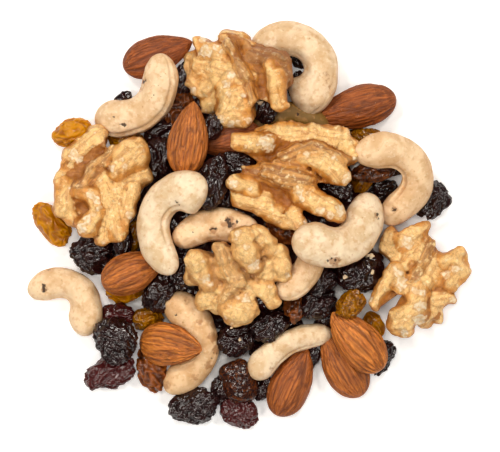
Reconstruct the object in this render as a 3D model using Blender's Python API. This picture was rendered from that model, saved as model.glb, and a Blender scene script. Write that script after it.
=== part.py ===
"""A heap of trail mix as it lies on a table: walnut halves, cashews, almonds and raisins.

Row frame: +Z up, the table at Z = 0, and the origin under the middle of the heap's box.
The shapes are worked out in millimetres and written to Blender in metres.

Each nut has its place and bearing as seen from above, and a rank, which is its turn to be laid
down. Its height and its tilt follow from what lies under it.
"""

import math
from functools import partial

import bmesh
import bpy
import numpy as np

MM = 0.001
NODE = "trail_mix_heap"

# The core under the heap, hidden by the nuts that lie on it: the mound in the middle, and low
# ones under the outer nuts. Each is x, y, bearing, length, width, height.
MOUNDS = (
    (0.0, 0.0, 20, 76.0, 66.0, 11.0),
    (-52.0, 4.0, 20, 28.0, 16.0, 3.5),
    (-52.5, -14.5, -60, 18.0, 9.0, 3.0),
    (-30.0, 40.0, 30, 34.0, 20.0, 3.5),
    (0.0, 44.0, 0, 34.0, 16.0, 3.5),
    (53.5, 4.5, 35, 28.0, 13.0, 5.0),
    (35.0, 31.5, -20, 22.0, 10.0, 3.5),
    (34.0, -36.0, -50, 30.0, 16.0, 3.5),
    (4.0, -47.0, 80, 28.0, 13.0, 3.5),
    (-10.0, -59.0, 0, 16.0, 8.0, 3.0),
    (-37.5, -17.0, 15, 16.0, 8.0, 3.5),
    (-36.0, -40.0, 60, 28.0, 14.0, 3.5),
)
MOUND_MIDDLE = 0.8
MOUND_BELOW = 3.0

# Thickness of each kind, as a share of its width, and what else shapes it: how an almond tapers
# to its tip and what makes its widest place 1, how blunt a cashew's ends are, and how deep a
# raisin's dents are.
ALMOND_FLATNESS = 0.62
ALMOND_TAPER = 0.75
ALMOND_WIDEST = 1.0255
CASHEW_FLATNESS = 0.80
CASHEW_BLUNTNESS = 3.2
RAISIN_FLATNESS = 0.72
RAISIN_DENTS = 0.05

# About how many points go round a nut: in the solid, and where it is laid down.
COARSE = 7
FINE = 32

# How many points go round a mound and along it: the one in the middle, the low ones, and the
# one in the middle where nuts are laid on it.
DOME_POINTS = (16, 6)
LOW_POINTS = (9, 4)
DENSE_POINTS = (96, 64)

# How a piece settles: the share of its size that others feel along X, Y and Z, how far it may
# reach below the table, where it is cut flat, and the tilts that it tries.
FIRM_SHARE = np.array([0.78, 0.78, 0.86])
SINK = 0.35
TILTS = (-24, -16, -8, 0, 8, 16, 24)
TILT_COST = 0.07
CELL = 1.5
HALF_FIELD = 96.0

# Almonds: x, y, bearing of the tip, length, width, rank.
ALMONDS = (
    (-29.1, 53.8, 21, 23.7, 12.8, 0),
    (-18.9, 27.8, 82, 24.0, 13.1, 3),
    (34.2, 37.8, 195, 27.5, 13.8, 0),
    (-36.8, -14.7, 22, 21.1, 13.4, 1),
    (-24.6, -38.1, -8, 22.1, 14.1, 2),
    (14.1, -49.9, 66, 24.0, 13.4, 0),
    (30.4, -44.8, 122, 23.0, 13.4, 0),
    (34.9, -36.8, 131, 24.3, 14.1, 1),
    (-6.4, 27.8, 190, 21.8, 12.2, 0),
)

# Cashews: x, y, bearing of the hollow side, length along the middle line, bend, width, rank.
CASHEWS = (
    (-33.6, 39.6, 134, 37.1, 100, 12.4, 2),
    (20.0, 54.0, 217, 43.5, 155, 11.6, 3),
    (-25.3, 2.6, -24, 41.9, 130, 12.2, 2),
    (49.9, 15.4, 203, 44.8, 165, 11.2, 2),
    (30.4, -2.9, 119, 37.8, 105, 14.4, 2),
    (-56.3, -21.6, -128, 32.4, 140, 10.6, 0),
    (-16.6, -37.8, 180, 40.3, 123, 10.9, 1),
    (12.8, -38.7, -50, 31.0, 50, 8.6, 2),
    (-10.6, -0.3, -85, 28.8, 60, 10.9, 1),
    (18.6, -14.1, 150, 25.6, 60, 9.6, 1),
    (13.4, 34.6, -90, 26.9, 60, 9.0, 0),
)

# Golden raisins: x, y, bearing, length, width, rank.
GOLDEN_RAISINS = (
    (-56.2, 30.0, 20, 13.4, 9.2, 0),
    (-62.7, 1.0, -55, 15.7, 8.6, 0),
    (-32.3, -29.8, 10, 10.2, 8.3, 0),
    (38.0, 27.2, -10, 13.5, 8.5, 0),
    (36.8, 15.0, 60, 9.6, 6.4, 0),
    (32.6, -25.0, 40, 10.2, 8.3, 1),
    (40.3, -32.6, -60, 9.6, 7.0, 0),
    (-37.1, -3.2, 80, 10.9, 5.8, 0),
    (-39.0, -20.3, 15, 13.4, 7.6, 0),
    (-38.4, 27.2, 0, 12.8, 7.0, 0),
)

# Brown raisins, as the golden ones.
BROWN_RAISINS = (
    (-22.4, 37.1, 60, 13.4, 9.0, 0),
    (11.2, -1.6, -30, 11.5, 7.7, 1),
    (14.7, -26.2, 90, 9.6, 6.4, 0),
    (40.0, 17.9, 10, 15.4, 7.0, 0),
    (-30.7, -46.7, -60, 14.1, 9.6, 0),
    (-3.2, -49.3, -50, 16.0, 12.2, 1),
)

# Dark raisins, as the golden ones.
DARK_RAISINS = (
    (-28.5, 22.1, 80, 13.4, 9.6, 1),
    (-11.2, 14.7, 75, 17.3, 9.6, 1),
    (-11.2, 31.7, 70, 9.0, 6.4, 0),
    (-3.8, 20.2, 0, 12.2, 8.3, 0),
    (-49.3, -8.6, 0, 15.0, 12.8, 0),
    (-39.7, -4.8, 90, 10.2, 5.8, 0),
    (-28.5, -20.8, 60, 14.7, 10.9, 0),
    (-21.4, -14.1, 80, 11.5, 7.0, 0),
    (-42.6, -36.8, -40, 14.7, 13.4, 1),
    (-41.6, -28.8, 0, 11.5, 7.7, 0),
    (-44.2, -47.0, 20, 17.3, 10.6, 0),
    (-17.6, -58.2, 15, 15.0, 11.8, 0),
    (-2.9, -59.8, -40, 13.4, 9.6, 0),
    (-3.5, -36.0, 20, 12.8, 10.5, 0),
    (6.6, -31.8, 30, 12.8, 9.8, 0),
    (23.0, -25.0, 15, 12.8, 9.6, 0),
    (36.2, -13.4, 45, 17.3, 14.1, 1),
    (23.7, -17.9, 45, 10.2, 7.7, 0),
    (42.9, -42.9, 60, 11.8, 8.0, 0),
    (60.2, 8.3, 45, 11.5, 10.2, 0),
    (4.5, -51.8, 60, 8.3, 6.4, 0),
    (26.9, 13.4, -30, 14.1, 9.0, 0),
    (17.6, 53.4, -30, 8.3, 5.1, 0),
    (5.8, 36.5, 70, 9.0, 6.4, 0),
    (-6.4, 11.5, 80, 12.8, 7.7, 0),
    (5.0, -40.0, -20, 9.2, 6.4, 0),
)

# Walnut halves, seen on their inner face: x, y, rank, then the lobes. A lobe is its height above
# the half's middle plane and a chain of places across it, each with the lobe's radius there.
WALNUTS = {
    "left": (-47.0, 12.8, 2, {
        "upper left finger": (-1.5, (-9.6, 9.5, 3.0), (-1.2, 16.5, 3.0)),
        "upper right crown": (2.5, (5.8, 6.0, 3.8), (10.6, 10.3, 5.0)),
        "right shoulder": (-0.5, (7.7, 1.7, 3.0), (13.9, 3.3, 2.7)),
        "right finger": (1.0, (10.4, -1.5, 2.3), (9.2, -8.8, 2.3)),
        "lower right": (0.5, (4.4, -8.0, 3.2), (5.3, -14.7, 3.4)),
        "foot": (-1.0, (0.9, -14.7, 3.0), (0.7, -16.9, 2.3)),
        "lower left curl": (3.0, (-4.7, -13.6, 3.1), (-1.2, -8.2, 2.2), (-2.8, -3.4, 2.3), (-7.1, -2.9, 1.6)),
        "left wall": (0.0, (-11.7, 0.1, 2.7), (-12.0, -7.4, 3.4), (-9.3, -11.7, 1.6)),
        "far left rim": (0.0, (-9.8, 6.0, 1.3), (-13.3, 2.8, 1.5)),
        "septum": (3.0, (3.6, 11.4, 1.3), (-1.8, 5.5, 1.8), (-6.3, -0.4, 1.8)),
        "middle": (-1.0, (-0.7, 3.9, 3.5), (2.6, -3.1, 4.6), (0.9, -9.9, 4.0)),
    }),
    "top": (-3.4, 47.0, 2, {
        "upper left crown": (2.5, (-12.4, 12.0, 2.2), (-9.8, 9.2, 2.9), (-3.7, 8.2, 2.2)),
        "left end": (0.0, (-16.2, 6.1, 2.4), (-15.9, 3.3, 2.4)),
        "left finger": (1.5, (-14.6, -1.5, 2.4), (-12.1, -4.1, 2.6), (-7.8, -0.8, 2.0)),
        "lower finger": (0.5, (-5.7, -4.3, 2.3), (-9.0, -8.9, 2.7)),
        "front crown": (3.5, (1.2, -6.4, 4.1), (-2.1, -11.7, 4.1), (3.0, -11.7, 3.8)),
        "curl": (4.0, (-1.1, -0.5, 2.2), (-3.4, -4.3, 1.5)),
        "septum": (4.0, (-1.4, 11.0, 1.5), (2.4, 4.3, 1.5), (5.8, -1.3, 1.1), (7.3, -6.9, 0.8)),
        "right finger": (2.0, (11.1, 3.8, 2.3), (12.4, -1.3, 2.9), (13.9, -7.9, 2.4)),
        "right back": (-2.0, (5.0, 7.4, 3.3), (12.7, 5.4, 3.3), (13.9, -0.3, 2.8)),
        "top knob": (-2.0, (-3.7, 13.0, 2.9), (0.9, 12.8, 2.4), (3.7, 10.7, 1.5)),
        "middle": (0.0, (-11.6, 4.3, 3.6), (-4.7, 2.3, 4.8), (3.0, -0.3, 4.3)),
    }),
    "middle": (14.1, 16.0, 4, {
        "left stump": (2.5, (-16.7, 10.6, 2.7), (-11.3, 10.1, 3.0), (-8.0, 10.3, 2.4)),
        "back rim": (-1.5, (-10.1, 13.8, 2.3), (-1.0, 13.8, 3.1), (7.6, 13.2, 3.4)),
        "back corner": (-1.5, (7.6, 13.2, 3.4), (15.6, 11.8, 3.7), (18.7, 6.9, 3.1)),
        "crest": (2.5, (-2.4, 6.3, 1.7), (6.2, 9.8, 1.7), (15.6, 4.9, 2.1)),
        "right hook": (2.5, (4.2, 5.2, 2.4), (9.0, 5.2, 3.1), (13.3, 1.5, 3.1), (15.9, -0.8, 2.6)),
        "plate": (1.5, (-15.5, 2.3, 1.0), (-8.7, 1.2, 2.9), (-1.8, -0.5, 4.3), (4.2, -1.4, 3.4)),
        "left finger": (2.5, (-18.1, -2.5, 2.7), (-12.7, -4.5, 2.3)),
        "lower left": (-0.5, (-16.4, -7.1, 3.4), (-9.5, -8.2, 3.4)),
        "lower rim": (0.5, (-8.7, -11.4, 2.3), (-4.7, -13.1, 2.9), (-1.3, -14.8, 2.1)),
        "lower knob": (1.0, (0.5, -12.2, 2.3), (2.2, -15.7, 2.1)),
        "front finger": (3.0, (2.5, -5.7, 2.7), (8.5, -8.8, 3.6), (13.6, -11.7, 3.3)),
    }),
    "centre": (-3.2, -15.4, 3, {
        "left finger": (2.5, (-13.4, 5.7, 3.3), (-11.9, 2.0, 3.1), (-9.6, -2.2, 2.3)),
        "left knobs": (-1.0, (-15.5, 1.7, 1.6), (-14.8, -2.2, 1.8)),
        "lower left": (0.5, (-7.7, -5.1, 2.3), (-11.1, -8.3, 2.8)),
        "lower knob": (-0.5, (-5.5, -8.8, 2.0), (-7.2, -11.2, 1.8)),
        "foot": (1.5, (-0.8, -11.7, 4.5), (2.1, -11.5, 4.3)),
        "foot stalk": (1.5, (1.6, -7.8, 2.2), (4.3, -5.4, 1.7)),
        "right hook": (2.0, (6.8, -3.6, 1.7), (9.7, -4.9, 2.4), (10.9, -8.5, 2.3)),
        "right wall": (0.5, (13.6, 7.9, 2.4), (14.3, 4.2, 2.6), (14.3, 0.0, 2.4)),
        "right floor": (-1.0, (8.5, 0.3, 2.9), (10.9, 2.7, 2.7)),
        "top crown": (3.5, (1.1, 13.5, 3.4), (2.4, 9.1, 3.4), (5.0, 3.7, 2.3)),
        "top right": (1.5, (6.3, 14.2, 2.9), (9.2, 11.8, 2.3), (9.9, 9.1, 2.0)),
        "septum": (1.0, (-5.5, 9.1, 2.3), (-3.3, 3.7, 2.9), (-0.1, -1.7, 3.2), (-4.3, -7.1, 2.2)),
    }),
    "right": (53.8, -16.6, 0, {
        "top finger": (1.5, (-3.1, 11.9, 3.0), (-0.1, 14.5, 2.7), (2.8, 16.3, 1.9)),
        "top left": (-0.5, (-8.3, 14.8, 1.8), (-9.6, 9.9, 2.6), (-6.7, 6.8, 2.1)),
        "left finger": (2.0, (-7.3, 1.1, 2.3), (-10.1, -2.7, 2.7), (-13.2, -7.9, 2.4)),
        "left stalk": (2.5, (-7.3, 2.2, 1.8), (-4.7, -2.7, 1.9), (-1.6, -3.5, 1.5)),
        "foot": (2.5, (0.5, -5.3, 3.0), (-0.6, -10.2, 3.7), (-5.2, -13.8, 4.1), (-3.1, -16.9, 2.2)),
        "lower right": (-1.0, (4.6, -10.2, 2.6), (2.8, -14.0, 2.3)),
        "right points": (0.0, (5.6, -7.1, 2.2), (8.7, -6.6, 1.8), (11.5, -7.1, 1.2)),
        "lower point": (-0.5, (6.1, -8.1, 1.8), (7.3, -13.0, 1.2)),
        "right crown": (1.5, (9.5, 5.5, 2.4), (13.1, 6.5, 3.2), (13.8, 2.2, 3.2), (11.3, -1.7, 2.4)),
        "body": (-0.5, (6.6, 4.2, 3.1), (4.1, -0.4, 3.7)),
        "cheek": (0.0, (-3.1, 4.2, 2.3), (-0.6, 7.3, 3.3), (3.8, 10.1, 1.9)),
        "septum": (2.5, (5.4, 10.6, 1.0), (2.3, 4.7, 1.2), (-0.6, 1.1, 1.2), (-2.1, -3.0, 1.0)),
    }),
}

# A walnut lobe runs down towards the shell side, where the half is narrower. Between the lobes
# lies the body, given by rings: height above the middle plane, and the share of the outline.
LOBE_SWELL = 1.10
LOBE_DEPTH = 3.0
LOBE_PULL_IN = 0.85
BODY_RINGS = ((-5.0, 0.62), (-2.0, 0.98), (1.8, 0.84))
BODY_BOTTOM = -6.5
BODY_TOP = 3.0

# Faces that lean less than this to each other after the union become one.
FLAT_ANGLE = math.radians(2)

# Side of the slab that cuts the heap flat at the table.
SLAB = 400.0

# A lobe thinner than this is left to the walnut's outline.
LEAST_LOBE = 2.5


def closed_skin(first, rings, last):
    """Points and triangles of a closed skin over rings of points, with a point at each end."""
    count = len(rings[0])
    points = np.vstack([[first], *rings, [last]])
    faces = []
    for i in range(count):
        j = (i + 1) % count
        faces.append((0, 1 + j, 1 + i))
        for ring in range(len(rings) - 1):
            a = 1 + ring * count
            b = a + count
            faces.append((a + i, a + j, b + j))
            faces.append((a + i, b + j, b + i))
        a = 1 + (len(rings) - 1) * count
        faces.append((a + i, a + j, len(points) - 1))
    return points, faces


def around_angles(around):
    return np.arange(around) * 2 * math.pi / around


def end_to_end(along):
    """Angles from one end of a nut to the other, without the ends themselves."""
    return np.arange(1, along) * math.pi / along


def fullness(around):
    """How much a ring of few points is widened, so that it holds as much as the round one."""
    return math.sqrt(2 * math.pi / (around * math.sin(2 * math.pi / around)))


def almond(length, width, fineness):
    """An almond along X with its tip at +X. Its widest place lies behind the middle."""
    around = fineness + 1
    turn = around_angles(around)
    rings = []
    for phi in end_to_end(fineness - 1):
        u = -math.cos(phi)
        swell = math.sqrt(1 + u) * (1 - u) ** ALMOND_TAPER / ALMOND_WIDEST
        half = width / 2 * swell * fullness(around)
        flat = half * ALMOND_FLATNESS
        ahead = np.full(around, u * length / 2)
        rings.append(np.column_stack([ahead, half * np.cos(turn), flat * np.sin(turn)]))
    return [closed_skin((-length / 2, 0, 0), rings, (length / 2, 0, 0))]


def cashew_line(length, bend):
    """Places and headings along a cashew's middle line, whose hollow side faces +X."""
    steps = 200
    step = np.linspace(0, 1, steps + 1)
    heading = math.radians(270) + math.radians(bend) * 0.5 * np.sin(math.pi * (step - 0.5))
    walk = np.column_stack([np.cos(heading), np.sin(heading)]) * length / steps
    line = np.cumsum(walk, axis=0) - walk / 2
    line -= line[steps // 5 : -steps // 5].mean(axis=0)
    return step, line, heading


def cashew(length, bend, width, fineness):
    """A cashew lying flat: a bent kernel with a fat end and a slimmer one."""
    around = fineness + 1
    turn = around_angles(around)
    step, line, heading = cashew_line(length, bend)
    rings = []
    for phi in end_to_end(fineness + 1):
        s = 0.5 - 0.5 * math.cos(phi)
        centre = np.array([np.interp(s, step, line[:, 0]), np.interp(s, step, line[:, 1])])
        ahead = np.interp(s, step, heading)
        across = np.array([-math.sin(ahead), math.cos(ahead)])
        swell = math.sqrt(1 - abs(2 * s - 1) ** CASHEW_BLUNTNESS) * (1.03 - 0.10 * s)
        half = width / 2 * swell * fullness(around)
        flat = half * CASHEW_FLATNESS
        sideways = centre + np.outer(half * np.cos(turn), across)
        rings.append(np.column_stack([sideways, flat * np.sin(turn)]))
    return [closed_skin((*line[0], 0), rings, (*line[-1], 0))]


def ball(around, along):
    """A closed skin of radius 1 with its ends at -X and +X."""
    turn = around_angles(around)
    rings = []
    for phi in end_to_end(along):
        ahead = np.full(around, -math.cos(phi))
        rings.append(np.column_stack([ahead, math.sin(phi) * np.cos(turn), math.sin(phi) * np.sin(turn)]))
    return closed_skin((-1, 0, 0), rings, (1, 0, 0))


def raisin(length, width, seed, fineness):
    """A shrivelled raisin: a flattened ball with a few soft dents, which the seed places."""
    draw = np.random.default_rng(seed)
    waves = draw.normal(size=(5, 3)) * 2.2
    starts = draw.uniform(0, 2 * math.pi, 5)
    points, faces = ball(fineness, fineness - 3)
    swell = 1 + RAISIN_DENTS * np.sin(points @ waves.T + starts).sum(axis=1)
    size = np.array([length / 2, width / 2, width / 2 * RAISIN_FLATNESS]) * fullness(fineness)
    return [(points * size * swell[:, None], faces)]


def swept_ball(chain, height, around, caps):
    """A closed skin round a ball swept along a chain of places: x, y and radius at each."""
    turn = around_angles(around)
    places = np.array([(x, y) for x, y, _ in chain])
    radii = [radius * fullness(around) for _, _, radius in chain]
    ways = np.diff(places, axis=0)
    ways /= np.linalg.norm(ways, axis=1)[:, None]
    stations = []
    for k in range(caps):
        lean = math.pi / 2 * (k + 1) / caps
        stations.append((places[0], ways[0], radii[0], -math.cos(lean), math.sin(lean)))
    for k in range(1, len(places) - 1):
        stations.append((places[k], ways[k - 1] + ways[k], radii[k], 0.0, 1.0))
    for k in range(caps):
        lean = math.pi / 2 * k / caps
        stations.append((places[-1], ways[-1], radii[-1], math.sin(lean), math.cos(lean)))
    rings = []
    for place, way, radius, ahead, aside in stations:
        way = way / np.linalg.norm(way)
        across = np.array([-way[1], way[0]])
        sideways = place + way * ahead * radius + np.outer(radius * aside * np.cos(turn), across)
        rings.append(np.column_stack([sideways, height + radius * aside * np.sin(turn)]))
    first = (*(places[0] - ways[0] * radii[0]), height)
    last = (*(places[-1] + ways[-1] * radii[-1]), height)
    return closed_skin(first, rings, last)


def reach(circles, bearing):
    """How far out from the middle a set of circles goes at a bearing."""
    ahead = circles[:, 0] * math.cos(bearing) + circles[:, 1] * math.sin(bearing)
    beside = circles[:, 0] * math.sin(bearing) - circles[:, 1] * math.cos(bearing)
    chord = circles[:, 2] ** 2 - beside**2
    met = chord > 0
    return max((ahead[met] + np.sqrt(chord[met])).max(initial=0), 0.4 * circles[:, :2].max())


def walnut_body(lobes, around):
    """The solid part of a walnut half: its outline follows how far the lobes reach."""
    circles = []
    for _, *chain in lobes.values():
        for (x0, y0, r0), (x1, y1, r1) in zip(chain, chain[1:]):
            for t in np.linspace(0, 1, 5):
                circles.append((x0 + t * (x1 - x0), y0 + t * (y1 - y0), r0 + t * (r1 - r0)))
    circles = np.array(circles)
    turn = around_angles(around)
    near = np.linspace(-0.4, 0.4, 5) * 2 * math.pi / around
    outline = np.array([np.mean([reach(circles, bearing + side) for side in near]) for bearing in turn])
    rings = []
    for height, share in BODY_RINGS:
        radius = outline * share
        ring = np.column_stack([radius * np.cos(turn), radius * np.sin(turn), np.full(around, height)])
        rings.append(ring)
    return closed_skin((0, 0, BODY_BOTTOM), rings, (0, 0, BODY_TOP))


def walnut(lobes, fineness):
    """The closed skins of a walnut half: its body, and a swept ball for each lobe."""
    around = fineness - 1
    caps = max(2, fineness // 4)
    skins = [walnut_body(lobes, fineness + 3)]
    for height, *chain in lobes.values():
        if max(radius for _, _, radius in chain) < LEAST_LOBE:
            continue
        swollen = [(x, y, radius * LOBE_SWELL) for x, y, radius in chain]
        points, faces = swept_ball(swollen, height, around, caps)
        depth = np.clip((height - points[:, 2]) / max(radius for _, _, radius in swollen), 0, 1)
        points[:, :2] *= (1 - (1 - LOBE_PULL_IN) * depth)[:, None]
        points[:, 2] -= LOBE_DEPTH * depth
        skins.append((points, faces))
    return skins


def mound(x, y, bearing, length, width, height, fineness):
    """A low dome of scraps that reaches below the table, where it is cut."""
    points, faces = ball(*fineness)
    upward = np.where(points[:, 2] > 0, height - MOUND_MIDDLE, MOUND_BELOW)
    points = points * (length / 2, width / 2, 1)
    points[:, 2] *= upward
    return points @ turned(bearing, 0, 0).T + (x, y, MOUND_MIDDLE), faces


def turned(bearing, pitch, roll):
    """Rotation matrix: roll about the piece's own length, then pitch, then its bearing."""
    b, p, r = math.radians(bearing), math.radians(pitch), math.radians(roll)
    about_z = np.array([(math.cos(b), -math.sin(b), 0), (math.sin(b), math.cos(b), 0), (0, 0, 1)])
    about_y = np.array([(math.cos(p), 0, math.sin(p)), (0, 1, 0), (-math.sin(p), 0, math.cos(p))])
    about_x = np.array([(1, 0, 0), (0, math.cos(r), -math.sin(r)), (0, math.sin(r), math.cos(r))])
    return about_z @ about_y @ about_x


def pile():
    """Every nut in the order in which it is laid down: rank, x, y, bearing and its maker.

    A maker takes a fineness, about the number of points round the nut, and gives closed skins.
    """
    nuts = []
    for x, y, bearing, length, width, rank in ALMONDS:
        nuts.append((rank, x, y, bearing, partial(almond, length, width)))
    for x, y, bearing, length, bend, width, rank in CASHEWS:
        nuts.append((rank, x, y, bearing, partial(cashew, length, bend, width)))
    for seed, row in enumerate(GOLDEN_RAISINS + BROWN_RAISINS + DARK_RAISINS):
        x, y, bearing, length, width, rank = row
        nuts.append((rank, x, y, bearing, partial(raisin, length, width, seed)))
    for x, y, rank, lobes in WALNUTS.values():
        nuts.append((rank, x, y, 0, partial(walnut, lobes)))
    return sorted(nuts, key=lambda nut: nut[0])


def settle(nuts):
    """The rotation matrix and place of each nut, worked out from the nuts laid before it."""
    cells = int(2 * HALF_FIELD / CELL)
    ground = np.zeros((cells, cells))

    def under(points):
        spots = np.clip(((points[:, :2] + HALF_FIELD) / CELL).astype(int), 0, cells - 1)
        return spots[:, 0], spots[:, 1]

    dome, _ = mound(*MOUNDS[0], DENSE_POINTS)
    np.maximum.at(ground, under(dome), dome[:, 2])
    poses = []
    for _, x, y, bearing, make in nuts:
        full = np.vstack([points for points, _ in make(FINE)])
        best = None
        for pitch in TILTS:
            for roll in TILTS:
                turn = turned(bearing, pitch, roll)
                firm = full @ turn.T * FIRM_SHARE + (x, y, 0)
                rise = (ground[under(firm)] - firm[:, 2]).max()
                rise = max(rise, -(full @ turn.T)[:, 2].min() - SINK)
                cost = rise + TILT_COST * (abs(pitch) + abs(roll))
                if best is None or cost < best[0]:
                    best = (cost, turn, rise, firm)
        _, turn, rise, firm = best
        np.maximum.at(ground, under(firm), firm[:, 2] + rise)
        poses.append((turn, np.array([x, y, rise])))
    return poses


def closed_object(name, points, faces, collection):
    """An object from points in millimetres, with its faces pointing out."""
    mesh = bpy.data.meshes.new(name)
    mesh.from_pydata((points * MM).tolist(), [], faces)
    work = bmesh.new()
    work.from_mesh(mesh)
    bmesh.ops.recalc_face_normals(work, faces=work.faces)
    work.to_mesh(mesh)
    work.free()
    made = bpy.data.objects.new(name, mesh)
    collection.objects.link(made)
    return made


def keep_outer_skin(obj):
    """Keeps the largest skin alone: a hollow that the union sealed is filled, a scrap dropped."""
    work = bmesh.new()
    work.from_mesh(obj.data)
    left = set(work.faces)
    skins = []
    while left:
        skin = []
        edge_of_skin = [left.pop()]
        while edge_of_skin:
            face = edge_of_skin.pop()
            skin.append(face)
            beside = {other for edge in face.edges for other in edge.link_faces} & left
            left -= beside
            edge_of_skin.extend(beside)
        skins.append(skin)
    skins.sort(key=len)
    doomed = [face for skin in skins[:-1] for face in skin]
    bmesh.ops.delete(work, geom=doomed, context="FACES")
    bmesh.ops.dissolve_limit(work, angle_limit=FLAT_ANGLE, verts=work.verts, edges=work.edges)
    bmesh.ops.triangulate(work, faces=work.faces)
    work.to_mesh(obj.data)
    work.free()


def nut_material():
    """The toasted tan that the heap has on the whole."""
    material = bpy.data.materials.new("trail_mix")
    material.use_nodes = True
    shader = material.node_tree.nodes["Principled BSDF"]
    shader.inputs["Base Color"].default_value = (0.50, 0.30, 0.13, 1)
    shader.inputs["Roughness"].default_value = 0.5
    shader.inputs["Metallic"].default_value = 0.0
    return material


def table_cutter(collection):
    """A slab under the table's top, which cuts the heap flat there."""
    corners = np.array([(x, y, z) for x in (-0.5, 0.5) for y in (-0.5, 0.5) for z in (-1, 0)])
    sides = [(0, 1, 3, 2), (4, 6, 7, 5), (0, 4, 5, 1), (2, 3, 7, 6), (0, 2, 6, 4), (1, 5, 7, 3)]
    cutter = closed_object("table_cutter", corners * (SLAB, SLAB, SLAB / 10), sides, collection)
    cutter.hide_render = True
    cutter.display_type = "WIRE"
    return cutter


def fuse(heap, nuts, cutter):
    """Joins the collection of nuts to the heap, cuts it flat at the table and applies both."""
    union = heap.modifiers.new("union", "BOOLEAN")
    union.operation = "UNION"
    union.operand_type = "COLLECTION"
    union.collection = nuts
    union.solver = "MANIFOLD"
    cut = heap.modifiers.new("table", "BOOLEAN")
    cut.operation = "DIFFERENCE"
    cut.object = cutter
    cut.solver = "MANIFOLD"
    bpy.context.view_layer.update()
    graph = bpy.context.evaluated_depsgraph_get()
    joined = bpy.data.meshes.new_from_object(heap.evaluated_get(graph))
    heap.modifiers.clear()
    heap.data = joined


def main():
    for old in list(bpy.data.objects):
        bpy.data.objects.remove(old)
    root = bpy.context.scene.collection
    nuts = bpy.data.collections.new("nuts")
    root.children.link(nuts)

    skins = [mound(*row, LOW_POINTS) for row in MOUNDS[1:]]
    pieces = pile()
    for (_, _, _, _, make), (turn, place) in zip(pieces, settle(pieces)):
        skins += [(points @ turn.T + place, faces) for points, faces in make(COARSE)]
    everything = np.vstack([points for points, _ in skins])
    middle = (everything.min(axis=0) + everything.max(axis=0)) / 2
    middle[2] = 0
    for number, (points, faces) in enumerate(skins):
        closed_object(f"nut_{number:03d}", points - middle, faces, nuts)

    dome, dome_faces = mound(*MOUNDS[0], DOME_POINTS)
    heap = closed_object(NODE, dome - middle, dome_faces, root)
    heap.data.materials.append(nut_material())
    cutter = table_cutter(root)
    fuse(heap, nuts, cutter)
    keep_outer_skin(heap)
    for helper in [*nuts.objects, cutter]:
        bpy.data.objects.remove(helper)
    bpy.data.collections.remove(nuts)


main()
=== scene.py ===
"""Looks of a heap of trail mix: walnut halves, cashews, almonds and raisins on a white table.

The tables and the way in which the nuts settle are those of the solids, so each detailed nut
lies where its plain solid does. Shapes are worked out in millimetres and made in metres.
"""

import math
from functools import partial

import bpy
import numpy as np
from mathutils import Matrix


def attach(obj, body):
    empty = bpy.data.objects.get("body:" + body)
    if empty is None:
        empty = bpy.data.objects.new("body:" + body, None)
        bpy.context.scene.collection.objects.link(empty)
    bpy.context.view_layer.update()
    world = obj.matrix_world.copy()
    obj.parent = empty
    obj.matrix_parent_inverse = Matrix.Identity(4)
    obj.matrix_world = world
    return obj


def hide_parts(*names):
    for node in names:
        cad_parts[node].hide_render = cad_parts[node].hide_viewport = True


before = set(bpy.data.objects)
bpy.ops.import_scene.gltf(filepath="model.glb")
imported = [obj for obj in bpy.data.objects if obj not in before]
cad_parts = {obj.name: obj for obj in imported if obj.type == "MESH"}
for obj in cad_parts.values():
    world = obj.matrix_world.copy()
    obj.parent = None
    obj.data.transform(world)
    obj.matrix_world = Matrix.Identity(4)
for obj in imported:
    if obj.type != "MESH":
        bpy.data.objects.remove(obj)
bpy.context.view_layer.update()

MM = 0.001
NODE = "trail_mix_heap"

# The dome at the core of the solid heap: x, y, bearing, length, width, height.
DOME = (0.0, 0.0, 20, 76.0, 66.0, 11.0)
MOUND_MIDDLE = 0.8
MOUND_BELOW = 3.0

# Thickness of each kind, as a share of its width, and what else shapes it.
ALMOND_FLATNESS = 0.62
ALMOND_TAPER = 0.75
ALMOND_WIDEST = 1.0255
CASHEW_FLATNESS = 0.80
CASHEW_BLUNTNESS = 3.2
RAISIN_FLATNESS = 0.72
RAISIN_DENTS = 0.05

# The solids' numbers of points, which fix the heap's middle, and how the nuts settle.
COARSE = 7
FINE = 32
DENSE_POINTS = (96, 64)
FIRM_SHARE = np.array([0.78, 0.78, 0.86])
SINK = 0.35
TILTS = (-24, -16, -8, 0, 8, 16, 24)
TILT_COST = 0.07
CELL = 1.5
HALF_FIELD = 96.0

# Almonds: x, y, bearing of the tip, length, width, rank.
ALMONDS = (
    (-29.1, 53.8, 21, 23.7, 12.8, 0),
    (-18.9, 27.8, 82, 24.0, 13.1, 3),
    (34.2, 37.8, 195, 27.5, 13.8, 0),
    (-36.8, -14.7, 22, 21.1, 13.4, 1),
    (-24.6, -38.1, -8, 22.1, 14.1, 2),
    (14.1, -49.9, 66, 24.0, 13.4, 0),
    (30.4, -44.8, 122, 23.0, 13.4, 0),
    (34.9, -36.8, 131, 24.3, 14.1, 1),
    (-6.4, 27.8, 190, 21.8, 12.2, 0),
)

# How dark each almond's skin is, and how strong its grooves are.
ALMOND_LOOKS = (
    (0.95, 0.9), (0.35, 1.2), (0.85, 1.1), (0.45, 0.9), (0.10, 1.7),
    (0.70, 0.9), (0.45, 1.0), (0.10, 1.3), (0.95, 0.8),
)

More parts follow.
